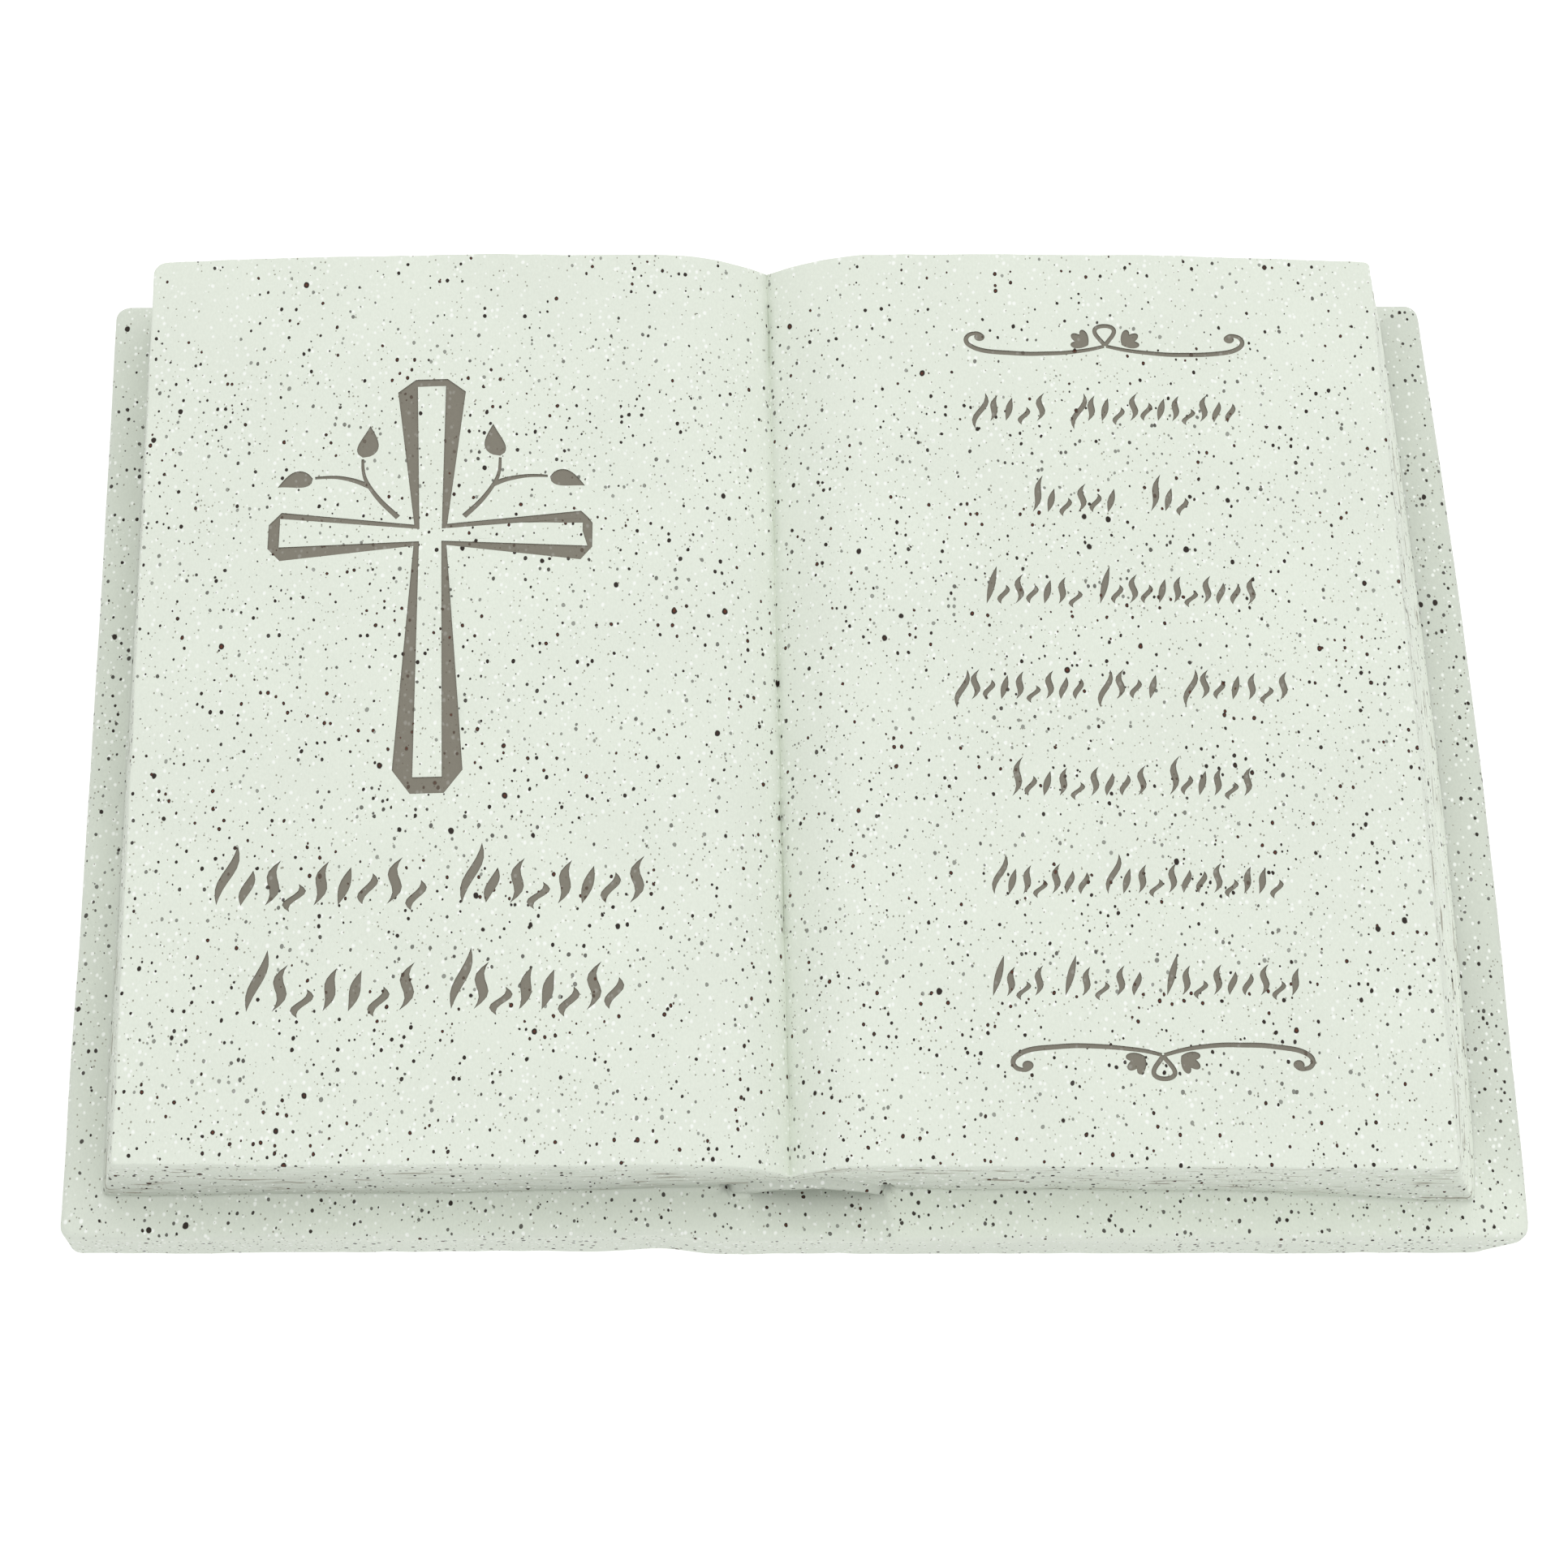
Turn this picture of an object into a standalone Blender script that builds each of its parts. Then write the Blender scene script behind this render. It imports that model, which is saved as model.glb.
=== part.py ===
"""Open book memorial: a small headstone in the form of an open book, cast in one piece.

The book lies flat on its underside. +X points to the right-hand page, +Y to the head of the pages,
+Z up, and the origin is under the middle of the cover. Lengths are in metres.
"""

import math

import bmesh
import bpy

# Cover
COVER_WIDTH = 0.2177
COVER_DEPTH = 0.1578
COVER_THICKNESS = 0.009
COVER_EDGE_SOFTNESS = 0.0009
COVER_CORNER_RADIUS = 0.0022
WORN_CORNER_RADIUS = 0.008
RIGHT_EDGE_BOW = 0.0014
LEFT_EDGE_HOLLOW = 0.0003

# The front edge of the cover steps forward beside the spine, by half of the step on either side of
# the cover's own edge, and runs on forward to the right
FRONT_STEP = 0.0006
FRONT_STEP_START = -0.021
FRONT_STEP_END = -0.012
FRONT_RUN = 0.0005

# The casting is a little out of square: it leans to the left towards the back (sideways per unit of
# depth), and its right side is a little longer than its left (share gained at the right edge)
LEAN = 0.0062
TAPER = 0.008

# Pages, measured from the edges of the cover and up from its top face
LEFT_MARGIN = 0.00615
RIGHT_MARGIN = 0.0069
FRONT_MARGIN = 0.0063
BACK_MARGIN = 0.0036
LEFT_FLARE = 0.0032
RIGHT_FLARE = 0.00605
END_FLARE = 0.0007
FRONT_SKEW = 0.0007
RIGHT_FOOT_BOW = 0.0011
PAGE_HEIGHT_FRONT = 0.0135
PAGE_HEIGHT_BACK = 0.0203
CROWN_FRONT = 0.0004
CROWN_BACK = 0.0026
CREST_SHARE = 0.36
CROWN_LOSS_AT_GUTTER = 0.3
GUTTER_DEPTH = 0.0053
GUTTER_REACH_FRONT = 0.0095
GUTTER_REACH_BACK = 0.017
PAGE_CORNER_RADIUS = 0.0009
WORN_PAGE_CORNER_RADIUS = 0.0022

# Spine, seen at both ends between the cover and the pages
SPINE_OFFSET = 0.0006
HOLLOW_WIDTH = 0.0193
HOLLOW_RISE = 0.0026
HOLLOW_DEPTH_IN_COVER = 0.0019
HOLLOW_DEPTH_AT_EDGE = 0.0006
HOLLOW_LIFT = 0.0003
HOLLOW_REACH_UNDER_PAGES = 0.0035
LIP_WALL = 0.0019
LIP_PROJECTION = 0.0007

# Carving on the pages
CARVING_DEPTH = 0.0004
CROSS_HEIGHT_SHARE = 0.465
CROSS_PLACE = (0.5455, 0.671)
FLOURISH_WIDTH_SHARE = 0.46
TOP_FLOURISH_PLACE = (0.545, 0.890)
LOW_FLOURISH_PLACE = (0.562, 0.110)
FLOURISH_LINE = 0.0007
SPRIG_LINE = 0.00075
STROKE_SLANT = 0.3
STROKE_WIDTH = 0.0011
STROKE_PITCH = 0.0023
ROW_HEIGHT = 0.0062
NAME_ROW_GROWTH = 1.5

# Cross: shares of its height, from the middle of the crossing.
# Each arm gives its direction, reach, tip, shoulder and the inner opening's reach and two sides.
CROSS_ARMS = (
    ((0, 1), 0.386, 0.036, 0.077, 0.354, 0.368, 0.032, 0.032),
    ((-1, 0), 0.363, 0.029, 0.059, 0.335, 0.338, 0.026, 0.044),
    ((0, -1), 0.614, 0.037, 0.077, 0.560, 0.576, 0.032, 0.032),
    ((1, 0), 0.363, 0.029, 0.059, 0.337, 0.352, 0.044, 0.026),
)
CROSS_ROOT = (0.037, 0.026)
CROSS_INNER_ROOT = (0.025, 0.015)

# Sprigs beside the cross: shares of its height. A leaf gives its base, its tip and its fullness.
SPRIG_STEM = ((0.074, 0.044), (0.113, 0.084), (0.142, 0.125), (0.153, 0.155), (0.155, 0.188))
SPRIG_FORK = ((0.140, 0.122), (0.175, 0.136), (0.215, 0.145), (0.262, 0.144))
SPRIG_LEAVES = (
    ((0.155, 0.192), (0.139, 0.272), 0.023),
    ((0.267, 0.143), (0.346, 0.121), -0.021),
)
LEAF_WIDEST = 0.62
LEAF_CURL = 0.09

# Flourish: shares of its width, from the crossing in its middle
CURL_PATH = (
    (0.004, -0.001), (0.070, -0.017), (0.156, -0.029), (0.250, -0.033), (0.343, -0.031),
    (0.436, -0.020), (0.482, 0.000), (0.494, 0.022), (0.482, 0.041), (0.455, 0.047), (0.438, 0.040),
)
CURL_DROP_PLACE = (0.446, 0.032)
CURL_DROP_RADIUS = 0.0185
CURL_DROP_FLATNESS = 0.85
LOOP_SPREAD = 0.0455
LOOP_HEIGHT = 0.078
BUD_PLACE = (0.060, 0.003)
BUD_LENGTH = 0.072
BUD_LEAN = 0.61
PETAL_SPREAD = 0.6
PETAL_NARROWNESS = 2.5
SIDE_PETAL_SHARE = 0.88

# Inscription rows: the leaf's side, how far up it the row lies, its size, and its groups of strokes
ROWS = (
    (-1, 0.269, NAME_ROW_GROWTH, ((0.20, 0.49), (0.53, 0.86))),
    (-1, 0.159, NAME_ROW_GROWTH, ((0.235, 0.505), (0.545, 0.81))),
    (1, 0.801, 1, ((0.325, 0.45), (0.485, 0.76))),
    (1, 0.696, 1, ((0.41, 0.555), (0.60, 0.67))),
    (1, 0.592, 1, ((0.33, 0.49), (0.51, 0.77))),
    (1, 0.486, 1, ((0.275, 0.485), (0.50, 0.605), (0.635, 0.81))),
    (1, 0.381, 1, ((0.355, 0.575), (0.60, 0.74))),
    (1, 0.277, 1, ((0.32, 0.475), (0.495, 0.775))),
    (1, 0.171, 1, ((0.31, 0.395), (0.42, 0.55), (0.575, 0.79))),
)

# How the strokes of a row differ: shares of the row's height, and waves along the row
SHORT_STROKE = 0.62
SHORT_STROKE_CHANGE = 0.16
STROKE_DROP = 0.22
DROP_BELOW_WAVE = -0.75
STROKE_WAVE = 2.4
ROW_WAVE = 37
STROKE_BEND = 0.5

# How finely the round forms are divided
EDGE_STEPS = 8
CORNER_STEPS = 4
LEAF_STEPS = 11
LEAF_CROWDING = 1.6
DEPTH_STEPS = 4
ARC_STEPS = 12
CURVE_STEPS = 4
CURL_STEPS = 3
LOOP_STEPS = 14
DROP_STEPS = 10
STROKE_STEPS = 3
SPRIG_LEAF_STEPS = 7
BUD_STEPS = 20

# Clearances used while joining and cutting the forms
SINK = 0.001
CUTTER_MARGIN = 0.0015
LAYER_STEP = 0.00004
CORNER_ZONE = 0.05

# Sizes worked out from the ones above
PAGES_LEFT = -COVER_WIDTH / 2 + LEFT_MARGIN + LEFT_FLARE
PAGES_RIGHT = COVER_WIDTH / 2 - RIGHT_EDGE_BOW - RIGHT_MARGIN - RIGHT_FLARE
PAGES_FRONT = -COVER_DEPTH / 2 + FRONT_MARGIN + END_FLARE
PAGES_BACK = COVER_DEPTH / 2 - BACK_MARGIN - END_FLARE
GUTTER_X = (PAGES_LEFT + PAGES_RIGHT) / 2
LEAF_WIDTH = (PAGES_RIGHT - PAGES_LEFT) / 2
LEAF_DEPTH = PAGES_BACK - PAGES_FRONT


def clear_scene():
    """Removes every object, so that the script starts from nothing."""
    for existing in list(bpy.data.objects):
        bpy.data.objects.remove(existing, do_unlink=True)


def blend(start, end, share):
    """Straight mix of two values."""
    return start + (end - start) * share


def along_pages(y):
    """Share of the way from the front edge of the pages to the back edge."""
    return (y - PAGES_FRONT) / LEAF_DEPTH


def page_top(x, y):
    """Height of the open pages: a sloping plane, a low crown on each leaf and the fold of the gutter."""
    share = along_pages(y)
    away = abs(x - GUTTER_X)
    across = away / LEAF_WIDTH
    if across > CREST_SHARE:
        crown = 1 - ((across - CREST_SHARE) / (1 - CREST_SHARE)) ** 2
    else:
        crown = 1 - CROWN_LOSS_AT_GUTTER * ((CREST_SHARE - across) / CREST_SHARE) ** 2
    reach = blend(GUTTER_REACH_FRONT, GUTTER_REACH_BACK, share)
    fold = max(0.0, 1 - away / reach) ** 2
    level = blend(PAGE_HEIGHT_FRONT, PAGE_HEIGHT_BACK, share)
    rise = crown * blend(CROWN_FRONT, CROWN_BACK, share)
    return COVER_THICKNESS + level + rise - GUTTER_DEPTH * fold


def out_of_square(x, y):
    """Where a place on the square plan lies once the book leans and its right side is longer."""
    return (x - LEAN * y, y * (1 + TAPER * x / (COVER_WIDTH / 2)))


def plan_middle():
    """Middle of the overall width and depth, which the origin lies under."""
    outline = [out_of_square(x, y) for x, y in cover_outline(0.0, COVER_CORNER_RADIUS)]
    return [(min(values) + max(values)) / 2 for values in zip(*outline)]


def set_out(bm):
    """Moves a form from the square plan to the real one."""
    middle = plan_middle()
    for vert in bm.verts:
        x, y = out_of_square(vert.co.x, vert.co.y)
        vert.co.x, vert.co.y = x - middle[0], y - middle[1]


def new_object(name, bm):
    """Turns a bmesh into an object in the scene, in flat triangles that point out."""
    set_out(bm)
    bmesh.ops.triangulate(bm, faces=bm.faces)
    bmesh.ops.recalc_face_normals(bm, faces=bm.faces)
    mesh = bpy.data.meshes.new(name)
    bm.to_mesh(mesh)
    bm.free()
    made = bpy.data.objects.new(name, mesh)
    bpy.context.collection.objects.link(made)
    return made


def as_helper(helper):
    """Marks a form that only joins or cuts another one."""
    helper.hide_render = True
    helper.display_type = "WIRE"
    return helper


def combine(target, helper, operation, crossing=False):
    """Joins or cuts the target with a helper form."""
    step = target.modifiers.new(f"{operation.lower()} {helper.name}", "BOOLEAN")
    step.object = as_helper(helper)
    step.operation = operation
    step.solver = "EXACT"
    step.use_self = crossing


def loft(name, rings):
    """Closed form through a stack of rings that all have the same number of points."""
    bm = bmesh.new()
    rows = [[bm.verts.new(point) for point in ring] for ring in rings]
    for lower, upper in zip(rows, rows[1:]):
        for i in range(len(lower)):
            j = (i + 1) % len(lower)
            bm.faces.new((lower[i], lower[j], upper[j], upper[i]))
    bm.faces.new(reversed(rows[0]))
    bm.faces.new(rows[-1])
    return bm


def corner_arc(centre, radius, start):
    """Quarter circle, anticlockwise from the start angle."""
    points = []
    for step in range(CORNER_STEPS + 1):
        angle = start + math.pi / 2 * step / CORNER_STEPS
        points.append((centre[0] + radius * math.cos(angle), centre[1] + radius * math.sin(angle)))
    return points


def side_curve(x, y_from, y_to, bow):
    """Points between two corners of a side that bows out by the given amount."""
    points = []
    for step in range(1, EDGE_STEPS):
        share = step / EDGE_STEPS
        points.append((x + bow * math.sin(math.pi * share), blend(y_from, y_to, share)))
    return points


def cover_outline(inset, front_right_radius):
    """Outline of the cover seen from above, anticlockwise from the front left corner."""
    left = -COVER_WIDTH / 2 + inset
    right = COVER_WIDTH / 2 - RIGHT_EDGE_BOW - inset
    front = -COVER_DEPTH / 2 + FRONT_STEP / 2 + inset
    front_right = front - FRONT_STEP - FRONT_RUN
    back = COVER_DEPTH / 2 - inset
    soft = COVER_CORNER_RADIUS
    worn = front_right_radius
    outline = corner_arc((left + soft, front + soft), soft, math.pi)
    outline += [(FRONT_STEP_START, front), (FRONT_STEP_END, front - FRONT_STEP)]
    outline += corner_arc((right - worn, front_right + worn), worn, -math.pi / 2)
    outline += side_curve(right, front_right + worn, back - soft, RIGHT_EDGE_BOW)
    outline += corner_arc((right - soft, back - soft), soft, 0)
    outline += corner_arc((left + soft, back - soft), soft, math.pi / 2)
    outline += side_curve(left, back - soft, front + soft, LEFT_EDGE_HOLLOW)
    return outline


def make_cover():
    """The open cover: one flat slab with softened edges and one corner worn round below."""
    soft = COVER_EDGE_SOFTNESS
    levels = (
        (0.0, soft, WORN_CORNER_RADIUS),
        (soft, 0.0, WORN_CORNER_RADIUS),
        (COVER_THICKNESS - soft, 0.0, COVER_CORNER_RADIUS),
        (COVER_THICKNESS - soft * 0.3, soft * 0.3, COVER_CORNER_RADIUS),
        (COVER_THICKNESS, soft, COVER_CORNER_RADIUS),
    )
    rings = []
    for height, inset, radius in levels:
        rings.append([(x, y, height) for x, y in cover_outline(inset, radius)])
    return new_object("cast_book", loft("cover", rings))


def leaf_shares():
    """Places across the pages, closer together near the gutter, where the fold is sharp."""
    half = [(step / LEAF_STEPS) ** LEAF_CROWDING for step in range(LEAF_STEPS + 1)]
    return [-share for share in reversed(half[1:])] + half


def pages_front(x):
    """Front edge of the pages, which lies a little further forward on the right than on the left."""
    return PAGES_FRONT - FRONT_SKEW * (x - GUTTER_X) / LEAF_WIDTH


def pages_section(share):
    """One upright slice through the pages, from the front edge at 0 to the back edge at 1."""
    foot_right = PAGES_RIGHT + RIGHT_FLARE + RIGHT_FOOT_BOW * math.sin(math.pi * share)
    section = []
    for x in (foot_right, PAGES_LEFT - LEFT_FLARE):
        y = blend(pages_front(x) - END_FLARE, PAGES_BACK + END_FLARE, share)
        section.append((x, y, COVER_THICKNESS - SINK))
    for across in leaf_shares():
        x = GUTTER_X + across * LEAF_WIDTH
        y = blend(pages_front(x), PAGES_BACK, share)
        section.append((x, y, page_top(x, y)))
    return section


def make_pages():
    """The block of open pages, leaning out at its foot, with its upright corners rounded."""
    sections = [pages_section(step / DEPTH_STEPS) for step in range(DEPTH_STEPS + 1)]
    bm = loft("pages", sections)
    for side, end in ((-1, -1), (1, -1), (-1, 1), (1, 1)):
        worn = side < 0 < end
        radius = WORN_PAGE_CORNER_RADIUS if worn else PAGE_CORNER_RADIUS
        corner = [edge for edge in bm.edges if is_page_corner(edge, side, end)]
        bmesh.ops.bevel(bm, geom=corner, offset=radius, segments=CORNER_STEPS, affect="EDGES", profile=0.5)
    return new_object("pages_form", bm)


def is_page_corner(edge, side, end):
    """True for the upright edge of the pages at one of their four corners."""
    low, high = sorted((vert.co for vert in edge.verts), key=lambda point: point.z)
    steep = high.z - low.z > PAGE_HEIGHT_FRONT / 2
    at_side = (high.x - GUTTER_X) * side > LEAF_WIDTH * (1 - CORNER_ZONE)
    shares = [along_pages(low.y), along_pages(high.y)]
    at_end = max(shares) < CORNER_ZONE if end < 0 else min(shares) > 1 - CORNER_ZONE
    return steep and at_side and at_end


def arc_points(half_width, rise, base):
    """Points on a shallow arc over the spine, from right to left; a negative rise hangs down."""
    points = []
    for step in range(ARC_STEPS + 1):
        share = 1 - 2 * step / ARC_STEPS
        points.append((SPINE_OFFSET + half_width * share, base + rise * (1 - share * share)))
    return points


def bar_along_y(name, section, y_from, y_to):
    """Straight bar along Y with the given section in X and Z."""
    rings = [[(x, y, z) for x, z in section] for y in (y_from, y_to)]
    return new_object(name, loft(name, rings))


def add_spine_end(book, label, end):
    """The arched lip over the hollow of the spine, and the hollow that runs out flat over the cover."""
    foot_of_pages = PAGES_FRONT - END_FLARE if end < 0 else PAGES_BACK + END_FLARE
    inside = foot_of_pages - end * HOLLOW_REACH_UNDER_PAGES
    lip_face = foot_of_pages + end * LIP_PROJECTION
    outside = end * (COVER_DEPTH / 2 + CUTTER_MARGIN)
    half = HOLLOW_WIDTH / 2

    lip = arc_points(half + LIP_WALL, HOLLOW_RISE + LIP_WALL, COVER_THICKNESS - SINK)
    combine(book, bar_along_y(f"lip_form_{label}", lip, inside, lip_face), "UNION")

    middle = COVER_THICKNESS + HOLLOW_LIFT
    rings = []
    for y, depth in (
        (inside, HOLLOW_DEPTH_IN_COVER),
        (foot_of_pages, HOLLOW_DEPTH_IN_COVER),
        (end * COVER_DEPTH / 2, HOLLOW_DEPTH_AT_EDGE),
        (outside, HOLLOW_DEPTH_AT_EDGE),
    ):
        section = arc_points(half, HOLLOW_RISE, middle) + arc_points(half, -depth, middle)[-2:0:-1]
        rings.append([(x, y, z) for x, z in section])
    combine(book, new_object(f"hollow_cutter_{label}", loft("hollow", rings)), "DIFFERENCE")


class Carving:
    """Shallow sunk shapes that follow the curve of the pages, collected as one cutter."""

    def __init__(self):
        self.bm = bmesh.new()
        self.layer = 0

    def add_faces(self, points, faces):
        """Adds one shape, given as flat points on the pages and faces between them."""
        depth = CARVING_DEPTH + LAYER_STEP * (self.layer % 3)
        self.layer += 1
        low = [self.bm.verts.new((x, y, page_top(x, y) - depth)) for x, y in points]
        high = [self.bm.verts.new((x, y, page_top(x, y) + CUTTER_MARGIN)) for x, y in points]
        rim = {}
        for face in faces:
            self.bm.faces.new([low[i] for i in reversed(face)])
            self.bm.faces.new([high[i] for i in face])
            for i, j in zip(face, face[1:] + face[:1]):
                if (j, i) in rim:
                    del rim[(j, i)]
                else:
                    rim[(i, j)] = True
        for i, j in rim:
            self.bm.faces.new((low[i], low[j], high[j], high[i]))

    def add_outline(self, points):
        """Adds a shape with one plain outline."""
        self.add_faces(points, [list(range(len(points)))])

    def add_line(self, path, width_at):
        """Adds a line along a path, as wide as width_at says for each share of its length."""
        left, right = [], []
        last = len(path) - 1
        for i, (x, y) in enumerate(path):
            before, after = path[max(i - 1, 0)], path[min(i + 1, last)]
            along = math.hypot(after[0] - before[0], after[1] - before[1])
            across = (-(after[1] - before[1]) / along, (after[0] - before[0]) / along)
            half = width_at(i / last) / 2
            left.append((x + across[0] * half, y + across[1] * half))
            right.append((x - across[0] * half, y - across[1] * half))
        count = len(path)
        faces = [[count + i, count + i + 1, i + 1, i] for i in range(last)]
        self.add_faces(left + right, faces)

    def cut_into(self, book):
        """Cuts all the shapes out of the book."""
        combine(book, new_object("carving_cutter", self.bm), "DIFFERENCE", crossing=True)


def leaf_point(side, across, up):
    """Point on a leaf: across from the gutter to the fore-edge, up from the front edge to the back."""
    return (GUTTER_X + side * across * LEAF_WIDTH, PAGES_FRONT + up * LEAF_DEPTH)


def placed(points, place, scale, mirror=1):
    """Moves points of a motif to their place on the pages, at a scale, mirrored if asked."""
    return [(place[0] + mirror * x * scale, place[1] + y * scale) for x, y in points]


def smooth_path(points, steps):
    """Smooth curve through the given points, with a number of steps between each pair."""
    padded = [points[0], *points, points[-1]]
    path = []
    for a, b, c, d in zip(padded, padded[1:], padded[2:], padded[3:]):
        for step in range(steps):
            t = step / steps
            path.append(tuple(catmull_rom(a[k], b[k], c[k], d[k], t) for k in (0, 1)))
    path.append(points[-1])
    return path


def catmull_rom(a, b, c, d, t):
    """Value between b and c on the curve that passes through all four values."""
    return 0.5 * (2 * b + (c - a) * t + (2 * a - 5 * b + 4 * c - d) * t**2 + (3 * b - a - 3 * c + d) * t**3)


def cross_corner(half, direction, side):
    """Corner where two arms of the cross meet, on the given side of an arm."""
    across = (-direction[1] * side, direction[0] * side)
    return ((direction[0] + across[0]) * half[0], (direction[1] + across[1]) * half[1])


def carve_cross(carving, place, scale):
    """Flared cross drawn as a band that is broad at the ends of its arms and thin at the crossing."""
    points, faces = [], []
    for direction, reach, tip, shoulder, shoulder_at, inner_at, inner_left, inner_right in CROSS_ARMS:
        def on_arm(along, aside):
            return (direction[0] * along - direction[1] * aside, direction[1] * along + direction[0] * aside)
        first = len(points)
        points += [
            cross_corner(CROSS_ROOT, direction, 1),
            on_arm(shoulder_at, shoulder),
            on_arm(reach, tip),
            on_arm(reach, -tip),
            on_arm(shoulder_at, -shoulder),
            on_arm(inner_at, inner_left),
            on_arm(inner_at, -inner_right),
            cross_corner(CROSS_INNER_ROOT, direction, 1),
        ]
        previous = (first - 8) % (8 * len(CROSS_ARMS))
        faces += [
            [first, first + 7, first + 5, first + 1],
            [first + 1, first + 5, first + 2],
            [first + 2, first + 5, first + 6, first + 3],
            [first + 3, first + 6, first + 4],
            [first + 4, first + 6, previous + 7, previous],
        ]
    carving.add_faces(placed(points, place, scale), faces)


def carve_leaf(carving, place, scale, base, tip, fullness, mirror):
    """Pointed leaf from its base to its tip, widest nearer its base, with a slight curl."""
    length = math.hypot(tip[0] - base[0], tip[1] - base[1])
    along = ((tip[0] - base[0]) / length, (tip[1] - base[1]) / length)
    across = (-along[1], along[0])
    sides = ([], [])
    for step in range(SPRIG_LEAF_STEPS + 1):
        share = step / SPRIG_LEAF_STEPS
        spread = fullness * math.sin(math.pi * share**LEAF_WIDEST) if 0 < share < 1 else 0
        curl = LEAF_CURL * length * math.sin(math.pi * share)
        for side, sign in zip(sides, (1, -1)):
            offset = curl + sign * spread
            side.append(
                (
                    base[0] + along[0] * length * share + across[0] * offset,
                    base[1] + along[1] * length * share + across[1] * offset,
                )
            )
    outline = sides[1] + sides[0][-2:0:-1]
    if mirror < 0:
        outline = outline[::-1]
    carving.add_outline(placed(outline, place, scale, mirror))


def carve_sprig(carving, place, scale, mirror):
    """Forked stem with two leaves, springing from the corner of the cross."""
    for path in (SPRIG_STEM, SPRIG_FORK):
        line = placed(smooth_path(path, CURVE_STEPS), place, scale, mirror)
        carving.add_line(line, sprig_width)
    for base, tip, fullness in SPRIG_LEAVES:
        carve_leaf(carving, place, scale, base, tip, fullness, mirror)


def sprig_width(share):
    """Width along a stem: fullest at the cross and thin at the leaf."""
    return SPRIG_LINE * blend(1.15, 0.55, share)


def carve_flourish(carving, place, scale, rising):
    """Pair of long curls that meet in a small loop, with a bud on each side; rising is 1 or -1."""
    for mirror in (-1, 1):
        curl = smooth_path([(x, y * rising) for x, y in CURL_PATH], CURL_STEPS)
        carving.add_line(placed(curl, place, scale, mirror), curl_width)
        carve_drop(carving, place, scale, mirror, rising)
        carve_bud(carving, place, scale, mirror, rising)
    loop = []
    for step in range(LOOP_STEPS + 1):
        angle = 2 * math.pi * step / LOOP_STEPS
        swell = math.sin(angle / 2)
        loop.append((LOOP_SPREAD * math.sin(angle) * swell, rising * LOOP_HEIGHT * swell**1.5))
    carving.add_line(placed(loop, place, scale), lambda share: FLOURISH_LINE)


def curl_width(share):
    """Width along a curl: thin where it starts and fullest on its long sweep."""
    return FLOURISH_LINE * (0.8 + 0.3 * math.sin(math.pi * share))


def carve_drop(carving, place, scale, mirror, rising):
    """Round drop that ends a curl."""
    outline = []
    for step in range(DROP_STEPS):
        angle = 2 * math.pi * step / DROP_STEPS * mirror * rising
        x = CURL_DROP_PLACE[0] + CURL_DROP_RADIUS * math.cos(angle)
        y = CURL_DROP_PLACE[1] + CURL_DROP_RADIUS * CURL_DROP_FLATNESS * math.sin(angle)
        outline.append((x, y * rising))
    carving.add_outline(placed(outline, place, scale, mirror))


def carve_bud(carving, place, scale, mirror, rising):
    """Bud beside the loop: three round petals that spring from one point."""
    base = BUD_PLACE
    petals = ((-PETAL_SPREAD, SIDE_PETAL_SHARE), (0, 1), (PETAL_SPREAD, SIDE_PETAL_SHARE))
    widest = PETAL_SPREAD + math.pi / 2 / PETAL_NARROWNESS
    outline = [base]
    for step in range(1, BUD_STEPS):
        turn = widest * (2 * step / BUD_STEPS - 1)
        reach = 0
        for middle, length in petals:
            aside = min(abs(turn - middle) * PETAL_NARROWNESS, math.pi / 2)
            reach = max(reach, BUD_LENGTH * length * math.cos(aside))
        angle = BUD_LEAN + turn
        outline.append((base[0] + reach * math.cos(angle), base[1] + reach * math.sin(angle)))
    if mirror * rising < 0:
        outline = outline[::-1]
    carving.add_outline(placed([(x, y * rising) for x, y in outline], place, scale, mirror))


def carve_stroke(carving, foot, height, width, bend):
    """Slanted lens-shaped stroke, pointed at both ends and slightly bent."""
    sides = ([], [])
    for step in range(STROKE_STEPS + 1):
        share = step / STROKE_STEPS
        spread = width / 2 * math.sin(math.pi * share)
        shift = STROKE_SLANT * height * share + bend * width * math.sin(2 * math.pi * share)
        for side, sign in zip(sides, (1, -1)):
            side.append((foot[0] + shift + sign * spread, foot[1] + height * share))
    carving.add_outline(sides[0] + sides[1][-2:0:-1])


def carve_row(carving, leaf, up, growth, groups):
    """Row of separate strokes in groups as long as words. The strokes aren't letters."""
    pitch = STROKE_PITCH * growth
    for start, end in groups:
        from_x, base_y = leaf_point(leaf, start, up)
        to_x, _ = leaf_point(leaf, end, up)
        left, right = min(from_x, to_x), max(from_x, to_x)
        count = max(2, round((right - left) / pitch))
        for place in range(count):
            wave = math.sin(STROKE_WAVE * place + ROW_WAVE * up)
            tall = 1.0 if place == 0 else SHORT_STROKE + SHORT_STROKE_CHANGE * wave
            drop = STROKE_DROP if wave < DROP_BELOW_WAVE else 0.0
            height = ROW_HEIGHT * growth * tall
            foot = (blend(left, right, place / count), base_y - drop * height)
            carve_stroke(carving, foot, height, STROKE_WIDTH * growth, STROKE_BEND * wave)


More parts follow.
